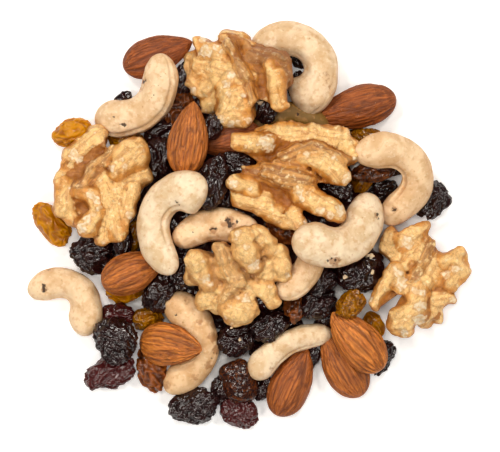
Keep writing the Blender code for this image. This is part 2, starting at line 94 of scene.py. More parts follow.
# Cashews: x, y, bearing of the hollow side, length along the middle line, bend, width, rank.
CASHEWS = (
    (-33.6, 39.6, 134, 37.1, 100, 12.4, 2),
    (20.0, 54.0, 217, 43.5, 155, 11.6, 3),
    (-25.3, 2.6, -24, 41.9, 130, 12.2, 2),
    (49.9, 15.4, 203, 44.8, 165, 11.2, 2),
    (30.4, -2.9, 119, 37.8, 105, 14.4, 2),
    (-56.3, -21.6, -128, 32.4, 140, 10.6, 0),
    (-16.6, -37.8, 180, 40.3, 123, 10.9, 1),
    (12.8, -38.7, -50, 31.0, 50, 8.6, 2),
    (-10.6, -0.3, -85, 28.8, 60, 10.9, 1),
    (18.6, -14.1, 150, 25.6, 60, 9.6, 1),
    (13.4, 34.6, -90, 26.9, 60, 9.0, 0),
)

# How toasted each cashew is, up to 1, and beyond it how much painted shade darkens it to olive brown; how
# deep its outer rim and its inner seam show, in millimetres; how much its hollow side is pinched; and how
# far its first end bulges into the hollow, its first end swells and its last end swells, in millimetres.
CASHEW_LOOKS = (
    (0.30, 0.60, 0.0, 0.10, 0.6, 0.2, 0.3), (0.20, 0.25, 0.2, 0.12, 4.0, 0.6, 0.3),
    (0.08, 0.0, 0.9, 0.18, 2.5, 0.5, 0.0), (0.38, 0.0, 1.7, 0.20, 0.6, 0.0, 1.1),
    (0.12, 0.0, 0.2, 0.24, 0.5, 0.0, 0.0), (0.35, 0.0, 0.2, 0.16, 0.8, 0.0, 0.3),
    (0.50, 0.0, 0.3, 0.10, 0.8, 0.0, 1.1), (0.16, 0.0, 0.5, 0.14, 0.0, -0.2, 1.0),
    (0.40, 0.0, 0.2, 0.08, 0.0, 0.0, 0.0), (0.35, 0.2, 0.2, 0.08, 0.0, 0.0, 0.0),
    # The cashew under the top walnut: its tone of 1.80 is painted shade.
    (1.80, 0.0, 0.2, 0.08, 0.0, 0.0, 0.0),
)

# Golden raisins: x, y, bearing, length, width, rank.
GOLDEN_RAISINS = (
    (-56.2, 30.0, 20, 13.4, 9.2, 0),
    (-62.7, 1.0, -55, 15.7, 8.6, 0),
    (-32.3, -29.8, 10, 10.2, 8.3, 0),
    (38.0, 27.2, -10, 13.5, 8.5, 0),
    (36.8, 15.0, 60, 9.6, 6.4, 0),
    (32.6, -25.0, 40, 10.2, 8.3, 1),
    (40.3, -32.6, -60, 9.6, 7.0, 0),
    (-37.1, -3.2, 80, 10.9, 5.8, 0),
    (-39.0, -20.3, 15, 13.4, 7.6, 0),
    (-38.4, 27.2, 0, 12.8, 7.0, 0),
)

# How dark each golden raisin is: partly its own colour and partly painted shade on those that lie in shade.
GOLDEN_TONES_AND_SHADE = (0.10, 0.15, 0.75, 1.05, 0.90, 0.95, 0.60, 0.95, 0.40, 0.85)

# Brown raisins, as the golden ones.
BROWN_RAISINS = (
    (-22.4, 37.1, 60, 13.4, 9.0, 0),
    (11.2, -1.6, -30, 11.5, 7.7, 1),
    (14.7, -26.2, 90, 9.6, 6.4, 0),
    (40.0, 17.9, 10, 15.4, 7.0, 0),
    (-30.7, -46.7, -60, 14.1, 9.6, 0),
    (-3.2, -49.3, -50, 16.0, 12.2, 1),
)
BROWN_TONES = (0.80, 0.45, 0.65, 0.95, 0.20, 1.25)

# Dark raisins, as the golden ones.
DARK_RAISINS = (
    (-28.5, 22.1, 80, 13.4, 9.6, 1),
    (-11.2, 14.7, 75, 17.3, 9.6, 1),
    (-11.2, 31.7, 70, 9.0, 6.4, 0),
    (-3.8, 20.2, 0, 12.2, 8.3, 0),
    (-49.3, -8.6, 0, 15.0, 12.8, 0),
    (-39.7, -4.8, 90, 10.2, 5.8, 0),
    (-28.5, -20.8, 60, 14.7, 10.9, 0),
    (-21.4, -14.1, 80, 11.5, 7.0, 0),
    (-42.6, -36.8, -40, 14.7, 13.4, 1),
    (-41.6, -28.8, 0, 11.5, 7.7, 0),
    (-44.2, -47.0, 20, 17.3, 10.6, 0),
    (-17.6, -58.2, 15, 15.0, 11.8, 0),
    (-2.9, -59.8, -40, 13.4, 9.6, 0),
    (-3.5, -36.0, 20, 12.8, 10.5, 0),
    (6.6, -31.8, 30, 12.8, 9.8, 0),
    (23.0, -25.0, 15, 12.8, 9.6, 0),
    (36.2, -13.4, 45, 17.3, 14.1, 1),
    (23.7, -17.9, 45, 10.2, 7.7, 0),
    (42.9, -42.9, 60, 11.8, 8.0, 0),
    (60.2, 8.3, 45, 11.5, 10.2, 0),
    (4.5, -51.8, 60, 8.3, 6.4, 0),
    (26.9, 13.4, -30, 14.1, 9.0, 0),
    (17.6, 53.4, -30, 8.3, 5.1, 0),
    (5.8, 36.5, 70, 9.0, 6.4, 0),
    (-6.4, 11.5, 80, 12.8, 7.7, 0),
    (5.0, -40.0, -20, 9.2, 6.4, 0),
)

# The dark raisins that are reddish, by their number, and the tones.
REDDISH = (9, 10, 12)
DARK_TONE = 0.1
DARK_TONES = [0.9 if number in REDDISH else DARK_TONE for number in range(len(DARK_RAISINS))]

# The kinds of raisins that the solids have too. Each raisin's seed is its number among them all.
RAISINS = {
    "golden_raisins": (GOLDEN_RAISINS, GOLDEN_TONES_AND_SHADE),
    "brown_raisins": (BROWN_RAISINS, BROWN_TONES),
    "dark_raisins": (DARK_RAISINS, DARK_TONES),
}

# Small dark raisins deep in the gaps, which the solids leave to their core, partly raisins that show there
# and partly painted shade where a gap holds only shade: x, y, height of the middle, bearing, length, width.
DEEP_RAISINS_AND_SHADE = (
    (2.4, 53.1, 4.0, 60, 13.0, 9.0),
    (6.1, 42.5, 3.5, 20, 10.0, 7.5),
    (-8.8, -52.5, 3.0, 60, 10.0, 7.0),
    (21.4, -40.6, 2.5, 70, 11.0, 6.0),
    (-27.8, 30.4, 3.5, 20, 12.5, 8.5),
    (-40.3, 40.6, 2.0, 45, 7.0, 4.5),
    (-20.8, 46.7, 3.0, 80, 11.0, 6.5),
    (41.6, 14.4, 2.5, 80, 6.5, 5.0),
    (46.4, 19.2, 2.5, 0, 9.0, 6.0),
    (33.0, 24.0, 3.0, 30, 10.0, 7.0),
    (-15.0, 38.5, 3.0, 60, 9.5, 7.0),
    (25.5, -29.8, 2.5, 20, 9.0, 6.0),
    (15.6, 45.6, 1.8, 60, 8.5, 6.0),
    (14.2, -33.0, 2.0, 0, 9.5, 6.5),
    (43.8, 11.2, 2.0, 30, 9.5, 6.5),
)

# How far some nuts are moved for their looks, and turned in degrees, by their place in the tables.
NUDGES = {
    (-29.1, 53.8): (0.2, 1.1, 0),
    (-33.6, 39.6): (0.5, -0.4, 0),
    (-25.3, 2.6): (-2.0, 0.4, 0),
    (49.9, 15.4): (0.6, 2.0, 0),
    (30.4, -2.9): (0.2, -0.7, 0),
    (12.8, -38.7): (-0.3, 0.2, -11),
    (18.6, -14.1): (-0.4, 0.6, 0),
    (20.0, 54.0): (-0.9, 0.2, 0),
    (60.2, 8.3): (-1.3, 0.0, 0),
    (17.6, 53.4): (-1.5, 0.3, 0),
    (-2.9, -59.8): (0.0, 0.8, 0),
    (-17.6, -58.2): (0.4, 0.5, 0),
    (42.9, -42.9): (-0.6, 0.5, 0),
    (-28.5, -20.8): (0.8, 0.0, 0),
}
LOBE_NUDGES = {"right finger": (1.9, -0.5), "right back": (1.7, -0.3)}
NUDGED_WALNUT = 1

# Walnut halves, seen on their inner face: x, y, rank, then the lobes. A lobe is its height above
# the half's middle plane and a chain of places across it, each with the lobe's radius there.
WALNUTS = {
    "left": (-47.0, 12.8, 2, {
        "upper left finger": (-1.5, (-9.6, 9.5, 3.0), (-1.2, 16.5, 3.0)),
        "upper right crown": (2.5, (5.8, 6.0, 3.8), (10.6, 10.3, 5.0)),
        "right shoulder": (-0.5, (7.7, 1.7, 3.0), (13.9, 3.3, 2.7)),
        "right finger": (1.0, (10.4, -1.5, 2.3), (9.2, -8.8, 2.3)),
        "lower right": (0.5, (4.4, -8.0, 3.2), (5.3, -14.7, 3.4)),
        "foot": (-1.0, (0.9, -14.7, 3.0), (0.7, -16.9, 2.3)),
        "lower left curl": (3.0, (-4.7, -13.6, 3.1), (-1.2, -8.2, 2.2), (-2.8, -3.4, 2.3), (-7.1, -2.9, 1.6)),
        "left wall": (0.0, (-11.7, 0.1, 2.7), (-12.0, -7.4, 3.4), (-9.3, -11.7, 1.6)),
        "far left rim": (0.0, (-9.8, 6.0, 1.3), (-13.3, 2.8, 1.5)),
        "septum": (3.0, (3.6, 11.4, 1.3), (-1.8, 5.5, 1.8), (-6.3, -0.4, 1.8)),
        "middle": (-1.0, (-0.7, 3.9, 3.5), (2.6, -3.1, 4.6), (0.9, -9.9, 4.0)),
    }),
    "top": (-3.4, 47.0, 2, {
        "upper left crown": (2.5, (-12.4, 12.0, 2.2), (-9.8, 9.2, 2.9), (-3.7, 8.2, 2.2)),
        "left end": (0.0, (-16.2, 6.1, 2.4), (-15.9, 3.3, 2.4)),
        "left finger": (1.5, (-14.6, -1.5, 2.4), (-12.1, -4.1, 2.6), (-7.8, -0.8, 2.0)),
        "lower finger": (0.5, (-5.7, -4.3, 2.3), (-9.0, -8.9, 2.7)),
        "front crown": (3.5, (1.2, -6.4, 4.1), (-2.1, -11.7, 4.1), (3.0, -11.7, 3.8)),
        "curl": (4.0, (-1.1, -0.5, 2.2), (-3.4, -4.3, 1.5)),
        "septum": (4.0, (-1.4, 11.0, 1.5), (2.4, 4.3, 1.5), (5.8, -1.3, 1.1), (7.3, -6.9, 0.8)),
        "right finger": (2.0, (11.1, 3.8, 2.3), (12.4, -1.3, 2.9), (13.9, -7.9, 2.4)),
        "right back": (-2.0, (5.0, 7.4, 3.3), (12.7, 5.4, 3.3), (13.9, -0.3, 2.8)),
        "top knob": (-2.0, (-3.7, 13.0, 2.9), (0.9, 12.8, 2.4), (3.7, 10.7, 1.5)),
        "middle": (0.0, (-11.6, 4.3, 3.6), (-4.7, 2.3, 4.8), (3.0, -0.3, 4.3)),
    }),
    "middle": (14.1, 16.0, 4, {
        "left stump": (2.5, (-16.7, 10.6, 2.7), (-11.3, 10.1, 3.0), (-8.0, 10.3, 2.4)),
        "back rim": (-1.5, (-10.1, 13.8, 2.3), (-1.0, 13.8, 3.1), (7.6, 13.2, 3.4)),
        "back corner": (-1.5, (7.6, 13.2, 3.4), (15.6, 11.8, 3.7), (18.7, 6.9, 3.1)),
        "crest": (2.5, (-2.4, 6.3, 1.7), (6.2, 9.8, 1.7), (15.6, 4.9, 2.1)),
        "right hook": (2.5, (4.2, 5.2, 2.4), (9.0, 5.2, 3.1), (13.3, 1.5, 3.1), (15.9, -0.8, 2.6)),
        "plate": (1.5, (-15.5, 2.3, 1.0), (-8.7, 1.2, 2.9), (-1.8, -0.5, 4.3), (4.2, -1.4, 3.4)),
        "left finger": (2.5, (-18.1, -2.5, 2.7), (-12.7, -4.5, 2.3)),
        "lower left": (-0.5, (-16.4, -7.1, 3.4), (-9.5, -8.2, 3.4)),
        "lower rim": (0.5, (-8.7, -11.4, 2.3), (-4.7, -13.1, 2.9), (-1.3, -14.8, 2.1)),
        "lower knob": (1.0, (0.5, -12.2, 2.3), (2.2, -15.7, 2.1)),
        "front finger": (3.0, (2.5, -5.7, 2.7), (8.5, -8.8, 3.6), (13.6, -11.7, 3.3)),
    }),
    "centre": (-3.2, -15.4, 3, {
        "left finger": (2.5, (-13.4, 5.7, 3.3), (-11.9, 2.0, 3.1), (-9.6, -2.2, 2.3)),
        "left knobs": (-1.0, (-15.5, 1.7, 1.6), (-14.8, -2.2, 1.8)),
        "lower left": (0.5, (-7.7, -5.1, 2.3), (-11.1, -8.3, 2.8)),
        "lower knob": (-0.5, (-5.5, -8.8, 2.0), (-7.2, -11.2, 1.8)),
        "foot": (1.5, (-0.8, -11.7, 4.5), (2.1, -11.5, 4.3)),
        "foot stalk": (1.5, (1.6, -7.8, 2.2), (4.3, -5.4, 1.7)),
        "right hook": (2.0, (6.8, -3.6, 1.7), (9.7, -4.9, 2.4), (10.9, -8.5, 2.3)),
        "right wall": (0.5, (13.6, 7.9, 2.4), (14.3, 4.2, 2.6), (14.3, 0.0, 2.4)),
        "right floor": (-1.0, (8.5, 0.3, 2.9), (10.9, 2.7, 2.7)),
        "top crown": (3.5, (1.1, 13.5, 3.4), (2.4, 9.1, 3.4), (5.0, 3.7, 2.3)),
        "top right": (1.5, (6.3, 14.2, 2.9), (9.2, 11.8, 2.3), (9.9, 9.1, 2.0)),
        "septum": (1.0, (-5.5, 9.1, 2.3), (-3.3, 3.7, 2.9), (-0.1, -1.7, 3.2), (-4.3, -7.1, 2.2)),
    }),
    "right": (53.8, -16.6, 0, {
        "top finger": (1.5, (-3.1, 11.9, 3.0), (-0.1, 14.5, 2.7), (2.8, 16.3, 1.9)),
        "top left": (-0.5, (-8.3, 14.8, 1.8), (-9.6, 9.9, 2.6), (-6.7, 6.8, 2.1)),
        "left finger": (2.0, (-7.3, 1.1, 2.3), (-10.1, -2.7, 2.7), (-13.2, -7.9, 2.4)),
        "left stalk": (2.5, (-7.3, 2.2, 1.8), (-4.7, -2.7, 1.9), (-1.6, -3.5, 1.5)),
        "foot": (2.5, (0.5, -5.3, 3.0), (-0.6, -10.2, 3.7), (-5.2, -13.8, 4.1), (-3.1, -16.9, 2.2)),
        "lower right": (-1.0, (4.6, -10.2, 2.6), (2.8, -14.0, 2.3)),
        "right points": (0.0, (5.6, -7.1, 2.2), (8.7, -6.6, 1.8), (11.5, -7.1, 1.2)),
        "lower point": (-0.5, (6.1, -8.1, 1.8), (7.3, -13.0, 1.2)),
        "right crown": (1.5, (9.5, 5.5, 2.4), (13.1, 6.5, 3.2), (13.8, 2.2, 3.2), (11.3, -1.7, 2.4)),
        "body": (-0.5, (6.6, 4.2, 3.1), (4.1, -0.4, 3.7)),
        "cheek": (0.0, (-3.1, 4.2, 2.3), (-0.6, 7.3, 3.3), (3.8, 10.1, 1.9)),
        "septum": (2.5, (5.4, 10.6, 1.0), (2.3, 4.7, 1.2), (-0.6, 1.1, 1.2), (-2.1, -3.0, 1.0)),
    }),
}

# How the solids' walnut halves are filled in below and between their lobes.
LOBE_SWELL = 1.10
LOBE_DEPTH = 3.0
LOBE_PULL_IN = 0.85
BODY_RINGS = ((-5.0, 0.62), (-2.0, 0.98), (1.8, 0.84))
BODY_BOTTOM = -6.5
BODY_TOP = 3.0
LEAST_LOBE = 2.5

# The detailed walnut: the lobes that are papery, the one painted with shade and how strongly, the size of a
# cell of the net laid round it, how softly lobes join, the height of its hollow middle, how shallow the shell
# side is, and its relief.
PAPERY = ("septum", "plate", "crest", "right back")
SHADED = "right back"
SHADE = 0.85
NET_CELL = 0.47
NET_MARGIN = 2.5
SOFT_JOIN = 2.7
HOLLOW_TOP = (0.6, 0.4)
BODY_PAPERY = 0.45
SHELL_DEPTH = 6.6
SHELL_SHARE = 0.88
LOBE_TRIM = 1.07
LOBE_BEND = (7.0, 0.10)
LUMPS = ((4.2, 0.80), (2.4, 0.50), (1.2, 0.10))
PUFF_WAVE = 3.6
PUFF_CURL = 0.4
PUFF_DEPTH = 0.70
FIBRE_STRETCH = 0.14
FIBRE_WAVE = 0.9
FIBRE_DEPTH = 0.28
RIB_WAVE = 1.7
RIB_DEPTH = 0.14
CREASE_WIDTH = 0.7
PUFF_CREASE = 0.10
SCALLOPED = "back rim"
SCALLOP_WAVE = 3.3
SCALLOP_DEPTH = 0.16

# How pale each walnut's skin is.
WALNUT_TONES = (0.1, 0.1, 0.0, 0.6, 0.15)

# Where the walnuts' skin is rubbed off and the white shows: column and row in the photograph,
# radius in millimetres.
BARE_SPOTS = (
    (74, 154, 1.7), (79, 159, 1.5), (122, 160, 0.8), (125, 167, 1.0), (112, 169, 1.2), (126, 148, 0.5),
    (144, 151, 0.6), (91, 195, 1.4), (97, 201, 1.3), (99, 208, 1.0), (94, 215, 0.9), (88, 220, 1.6),
    (82, 229, 1.8), (130, 215, 1.3), (104, 242, 0.8), (53, 205, 0.8), (70, 188, 0.5), (95, 133, 0.4),
    (203, 39, 1.6), (206, 51, 2.2), (215, 48, 1.2), (221, 52, 0.7), (231, 76, 1.3), (227, 85, 1.3),
    (229, 95, 0.9), (193, 90, 1.3), (187, 80, 0.5), (221, 120, 1.4), (231, 125, 1.3), (249, 121, 1.3),
    (238, 123, 0.8), (243, 96, 0.9), (206, 111, 0.7), (267, 144, 2.7), (246, 147, 0.5), (233, 184, 1.5),
    (230, 178, 0.9), (250, 189, 0.7), (306, 155, 1.0), (332, 159, 0.8), (347, 177, 1.5), (344, 182, 1.0),
    (299, 193, 1.3), (301, 200, 1.0), (297, 188, 0.7), (320, 211, 1.5), (329, 216, 1.3), (340, 211, 1.7),
    (305, 223, 1.2), (354, 159, 0.9), (238, 233, 1.2), (236, 239, 0.7), (246, 247, 1.1), (253, 266, 1.6),
    (258, 262, 1.0), (206, 279, 1.9), (211, 283, 1.0), (246, 298, 1.4), (238, 297, 0.8), (226, 318, 0.9),
    (232, 323, 0.7), (288, 275, 1.0), (270, 286, 0.7), (203, 261, 0.7), (186, 265, 0.7), (406, 242, 2.1),
    (398, 273, 1.6), (401, 283, 2.0), (395, 269, 1.0), (369, 299, 1.2), (414, 290, 1.5), (422, 293, 1.2),
    (418, 306, 1.7), (424, 305, 1.2), (419, 320, 2.1), (404, 333, 1.5), (453, 300, 1.2), (446, 274, 1.5),
    (455, 269, 1.3),
)

# Dark pits and specks on the cashews, as the bare spots.
CASHEW_MARKS = (
    (124, 125, 0.95), (121, 124, 0.5), (114, 117, 0.45), (114, 120, 0.3), (144, 82, 0.7), (141, 86, 0.5),
    (139, 91, 0.35), (161, 77, 0.3), (159, 86, 0.3), (154, 95, 0.35), (177, 203, 0.6), (180, 205, 0.4),
    (146, 216, 0.3), (149, 200, 0.25), (394, 210, 0.8), (392, 208, 0.4), (377, 214, 0.6), (378, 218, 0.4),
    (327, 261, 0.45), (331, 258, 0.5), (335, 260, 0.5), (340, 261, 0.4), (334, 264, 0.4), (44, 285, 0.6),
    (44, 289, 0.9), (45, 293, 0.5), (48, 269, 0.5), (176, 315, 0.4), (214, 353, 0.5), (212, 359, 0.45),
    (218, 354, 0.4), (227, 220, 1.0), (230, 225, 0.8), (237, 221, 0.7), (233, 223, 0.6), (213, 229, 0.5),
    (216, 229, 0.4), (210, 230, 0.4), (212, 233, 0.3), (193, 232, 0.35), (298, 114, 0.6),
)

# Brown rough spots on the cashews, as the bare spots.
CASHEW_BLOTS = (
    (319, 77, 0.8), (327, 75, 0.9), (326, 80, 0.9), (330, 86, 0.8), (323, 73, 0.5), (306, 91, 0.4),
    (143, 81, 1.1), (139, 89, 0.9), (273, 369, 0.9), (229, 222, 2.4), (213, 230, 1.4), (376, 216, 0.9),
    (334, 261, 2.0), (44, 288, 1.3), (394, 209, 1.2), (200, 322, 1.2), (214, 338, 1.9), (186, 300, 1.0),
    (217, 350, 1.5), (166, 386, 1.5), (215, 325, 1.3), (208, 366, 1.4), (195, 378, 1.2),
)

# Crumbs of nut on the raisins: column and row in the photograph, length in millimetres.
CRUMBS = (
    (370, 256, 2.4), (372, 272, 1.6), (346, 278, 2.2), (232, 327, 1.1), (240, 339, 1.4), (261, 103, 2.2),
)

# The photograph's scale, and its column and row over the solids' origin.
PIXEL = 0.32
ORIGIN_COLUMN = 248
ORIGIN_ROW = 226

# The camera looks straight down from far above, over the middle of the photograph.
PHOTO_COLUMNS = 500
PHOTO_ROWS = 452
CAMERA_HEIGHT = 1500.0
FOCUS_HEIGHT = 8.0
SENSOR = 36.0


def around_angles(around):
    return np.arange(around) * 2 * math.pi / around


def end_to_end(along):
    """Angles from one end of a nut to the other, without the ends themselves."""
    return np.arange(1, along) * math.pi / along


def fullness(around):
    """How much a ring of few points is widened, so that it holds as much as the round one."""
    return math.sqrt(2 * math.pi / (around * math.sin(2 * math.pi / around)))


def almond_swell(u):
    return np.sqrt(1 + u) * (1 - u) ** ALMOND_TAPER / ALMOND_WIDEST


def plain_almond(length, width, fineness):
    """Points of the solid almond, along X with its tip at +X."""
    around = fineness + 1
    turn = around_angles(around)
    rings = [[(-length / 2, 0, 0)], [(length / 2, 0, 0)]]
    for phi in end_to_end(fineness - 1):
        u = -math.cos(phi)
        half = width / 2 * almond_swell(u) * fullness(around)
        flat = half * ALMOND_FLATNESS
        ahead = np.full(around, u * length / 2)
        rings.append(np.column_stack([ahead, half * np.cos(turn), flat * np.sin(turn)]))
    return np.vstack(rings)


def cashew_line(length, bend):
    """Places and headings along a cashew's middle line, whose hollow side faces +X."""
    steps = 200
    step = np.linspace(0, 1, steps + 1)
    heading = math.radians(270) + math.radians(bend) * 0.5 * np.sin(math.pi * (step - 0.5))
    walk = np.column_stack([np.cos(heading), np.sin(heading)]) * length / steps
    line = np.cumsum(walk, axis=0) - walk / 2
    line -= line[steps // 5 : -steps // 5].mean(axis=0)
    return step, line, heading


def cashew_swell(s, bluntness=CASHEW_BLUNTNESS):
    return np.sqrt(1 - np.abs(2 * s - 1) ** bluntness) * (1.03 - 0.10 * s)


def plain_cashew(length, bend, width, fineness):
    """Points of the solid cashew, lying flat."""
    around = fineness + 1
    turn = around_angles(around)
    step, line, heading = cashew_line(length, bend)
    rings = [[(*line[0], 0)], [(*line[-1], 0)]]
    for phi in end_to_end(fineness + 1):
        s = 0.5 - 0.5 * math.cos(phi)
        centre = np.array([np.interp(s, step, line[:, 0]), np.interp(s, step, line[:, 1])])
        ahead = np.interp(s, step, heading)
        across = np.array([-math.sin(ahead), math.cos(ahead)])
        half = width / 2 * cashew_swell(s) * fullness(around)
        sideways = centre + np.outer(half * np.cos(turn), across)
        rings.append(np.column_stack([sideways, half * CASHEW_FLATNESS * np.sin(turn)]))
    return np.vstack(rings)


def ball(around, along):
    """Points of a ball of radius 1, ring by ring between its ends at -X and +X."""
    turn = around_angles(around)
    rings = [[(-1, 0, 0)]]
    for phi in end_to_end(along):
        ahead = np.full(around, -math.cos(phi))
        rings.append(np.column_stack([ahead, math.sin(phi) * np.cos(turn), math.sin(phi) * np.sin(turn)]))
    return np.vstack([*rings, [(1, 0, 0)]])


def raisin_body(points, length, width, seed):
    """A flattened ball with a few soft dents, which the seed places."""
    draw = np.random.default_rng(seed)
    waves = draw.normal(size=(5, 3)) * 2.2
    starts = draw.uniform(0, 2 * math.pi, 5)
    swell = 1 + RAISIN_DENTS * np.sin(points @ waves.T + starts).sum(axis=1)
    return points * np.array([length / 2, width / 2, width / 2 * RAISIN_FLATNESS]) * swell[:, None]


def plain_raisin(length, width, seed, fineness):
    return raisin_body(ball(fineness, fineness - 3), length, width, seed) * fullness(fineness)


def swept_ball(chain, height, around, caps):
    """Points round a ball swept along a chain of places: x, y and radius at each."""
    turn = around_angles(around)
    places = np.array([(x, y) for x, y, _ in chain])
    radii = [radius * fullness(around) for _, _, radius in chain]
    ways = np.diff(places, axis=0)
    ways /= np.linalg.norm(ways, axis=1)[:, None]
    stations = []
    for k in range(caps):
        lean = math.pi / 2 * (k + 1) / caps
        stations.append((places[0], ways[0], radii[0], -math.cos(lean), math.sin(lean)))
    for k in range(1, len(places) - 1):
        stations.append((places[k], ways[k - 1] + ways[k], radii[k], 0.0, 1.0))
    for k in range(caps):
        lean = math.pi / 2 * k / caps
        stations.append((places[-1], ways[-1], radii[-1], math.sin(lean), math.cos(lean)))
    rings = [[(*(places[0] - ways[0] * radii[0]), height)], [(*(places[-1] + ways[-1] * radii[-1]), height)]]
    for place, way, radius, ahead, aside in stations:
        way = way / np.linalg.norm(way)
        across = np.array([-way[1], way[0]])
        sideways = place + way * ahead * radius + np.outer(radius * aside * np.cos(turn), across)
        rings.append(np.column_stack([sideways, height + radius * aside * np.sin(turn)]))
    return np.vstack(rings)


def widest(chain):
    return max(radius for _, _, radius in chain)


def reach(circles, bearing):
    """How far out from the middle a set of circles goes at a bearing."""
    ahead = circles[:, 0] * math.cos(bearing) + circles[:, 1] * math.sin(bearing)
    beside = circles[:, 0] * math.sin(bearing) - circles[:, 1] * math.cos(bearing)
    chord = circles[:, 2] ** 2 - beside**2
    met = chord > 0
    return max((ahead[met] + np.sqrt(chord[met])).max(initial=0), 0.4 * circles[:, :2].max())


def walnut_outline(lobes, around):
    """How far the lobes reach at each of a number of bearings, evened out a little."""
    circles = []
    for _, *chain in lobes.values():
        for (x0, y0, r0), (x1, y1, r1) in zip(chain, chain[1:]):
            for t in np.linspace(0, 1, 5):
                circles.append((x0 + t * (x1 - x0), y0 + t * (y1 - y0), r0 + t * (r1 - r0)))
    circles = np.array(circles)
    near = np.linspace(-0.4, 0.4, 5) * 2 * math.pi / around
    return np.array([np.mean([reach(circles, b + side) for side in near]) for b in around_angles(around)])


def plain_walnut(lobes, fineness):
    """Points of the solid walnut half: its body, and a swept ball for each lobe."""
    caps = max(2, fineness // 4)
    turn = around_angles(fineness + 3)
    outline = walnut_outline(lobes, fineness + 3)
    skins = [[(0, 0, BODY_BOTTOM), (0, 0, BODY_TOP)]]
    for height, share in BODY_RINGS:
        ring = [outline * share * np.cos(turn), outline * share * np.sin(turn), np.full(len(turn), height)]
        skins.append(np.column_stack(ring))
    for height, *chain in lobes.values():
        if widest(chain) < LEAST_LOBE:
            continue
        swollen = [(x, y, radius * LOBE_SWELL) for x, y, radius in chain]
        points = swept_ball(swollen, height, fineness - 1, caps)
        depth = np.clip((height - points[:, 2]) / widest(swollen), 0, 1)
        points[:, :2] *= (1 - (1 - LOBE_PULL_IN) * depth)[:, None]
        points[:, 2] -= LOBE_DEPTH * depth
        skins.append(points)
    return np.vstack(skins)


def mound(x, y, bearing, length, width, height, fineness):
    """Points of a low dome that reaches below the table."""
    points = ball(*fineness)
    upward = np.where(points[:, 2] > 0, height - MOUND_MIDDLE, MOUND_BELOW)
    points = points * (length / 2, width / 2, 1)
    points[:, 2] *= upward
    return points @ turned(bearing, 0, 0).T + (x, y, MOUND_MIDDLE)


def turned(bearing, pitch, roll):
    """Rotation matrix: roll about the piece's own length, then pitch, then its bearing."""
    b, p, r = math.radians(bearing), math.radians(pitch), math.radians(roll)
    about_z = np.array([(math.cos(b), -math.sin(b), 0), (math.sin(b), math.cos(b), 0), (0, 0, 1)])
    about_y = np.array([(math.cos(p), 0, math.sin(p)), (0, 1, 0), (-math.sin(p), 0, math.cos(p))])
    about_x = np.array([(1, 0, 0), (0, math.cos(r), -math.sin(r)), (0, math.sin(r), math.cos(r))])
    return about_z @ about_y @ about_x


PLAIN = 4


def pile():
    """Every nut in the order in which it is laid down: rank, x, y, bearing, plain maker, kind and
    fine maker."""
    nuts = []
    for number, (x, y, bearing, length, width, rank) in enumerate(ALMONDS):
        fine = partial(almond, number, length, width)
        nuts.append((rank, x, y, bearing, partial(plain_almond, length, width), "almonds", fine))
    for number, (x, y, bearing, length, bend, width, rank) in enumerate(CASHEWS):
        fine = partial(cashew, number, length, bend, width)
        nuts.append((rank, x, y, bearing, partial(plain_cashew, length, bend, width), "cashews", fine))
    seed = 0
    for kind, (rows, tones) in RAISINS.items():
        for (x, y, bearing, length, width, rank), tone in zip(rows, tones):
            fine = partial(raisin, kind, seed, length, width, tone)
            nuts.append((rank, x, y, bearing, partial(plain_raisin, length, width, seed), kind, fine))
            seed += 1
    for number, (x, y, rank, lobes) in enumerate(WALNUTS.values()):
        nuts.append((rank, x, y, 0, partial(plain_walnut, lobes), "walnuts", partial(walnut, number, lobes)))
    return sorted(nuts, key=lambda nut: nut[0])


def settle(nuts):
    """The rotation matrix and place of each nut, worked out from the nuts laid before it."""
    cells = int(2 * HALF_FIELD / CELL)
    ground = np.zeros((cells, cells))

    def under(points):
        spots = np.clip(((points[:, :2] + HALF_FIELD) / CELL).astype(int), 0, cells - 1)
        return spots[:, 0], spots[:, 1]

    dome = mound(*DOME, DENSE_POINTS)
    np.maximum.at(ground, under(dome), dome[:, 2])
    poses = []
    for _, x, y, bearing, plain, *_ in nuts:
        full = plain(FINE)
        best = None
        for pitch in TILTS:
            for roll in TILTS:
                turn = turned(bearing, pitch, roll)
                firm = full @ turn.T * FIRM_SHARE + (x, y, 0)
                rise = (ground[under(firm)] - firm[:, 2]).max()
                rise = max(rise, -(full @ turn.T)[:, 2].min() - SINK)
                cost = rise + TILT_COST * (abs(pitch) + abs(roll))
                if best is None or cost < best[0]:
                    best = (cost, turn, rise, firm)
        _, turn, rise, firm = best
        np.maximum.at(ground, under(firm), firm[:, 2] + rise)
        poses.append((turn, np.array([x, y, rise])))
    return poses


def heap_middle(nuts, poses):
    """The middle of the solid heap's box, on the table."""
    laid = zip(nuts, poses)
    everything = np.vstack([nut[PLAIN](COARSE) @ turn.T + place for nut, (turn, place) in laid])
    middle = (everything.min(axis=0) + everything.max(axis=0)) / 2
    middle[2] = 0
    return middle


# Noise and skins

GRADIENTS = np.array([
    (1, 1, 0), (-1, 1, 0), (1, -1, 0), (-1, -1, 0), (1, 0, 1), (-1, 0, 1), (1, 0, -1), (-1, 0, -1),
    (0, 1, 1), (0, -1, 1), (0, 1, -1), (0, -1, -1), (1, 1, 0), (-1, 1, 0), (0, -1, 1), (0, -1, -1),
], float)
HASH = (73856093, 19349663, 83492791)
HASH_SEED = 1013904223
HASH_STIR = 1274126177


def noise(points, seed):
    """Smooth noise at each point, from about -1 to 1, that crosses zero about every unit."""
    cell = np.floor(points).astype(np.int64)
    inside = points - cell
    fade = inside**3 * (inside * (inside * 6 - 15) + 10)
    total = np.zeros(len(points))
    for corner in np.ndindex(2, 2, 2):
        spot = (cell + corner) * HASH
        mixed = spot[:, 0] ^ spot[:, 1] ^ spot[:, 2] ^ (seed * HASH_SEED)
        mixed = ((mixed ^ (mixed >> 13)) * HASH_STIR) & 0x7FFFFFFF
        mixed ^= mixed >> 16
        away = inside - corner
        weight = np.prod(np.where(np.array(corner, bool), fade, 1 - fade), axis=1)
        total += weight * (GRADIENTS[mixed & 15] * away).sum(axis=1)
    return total


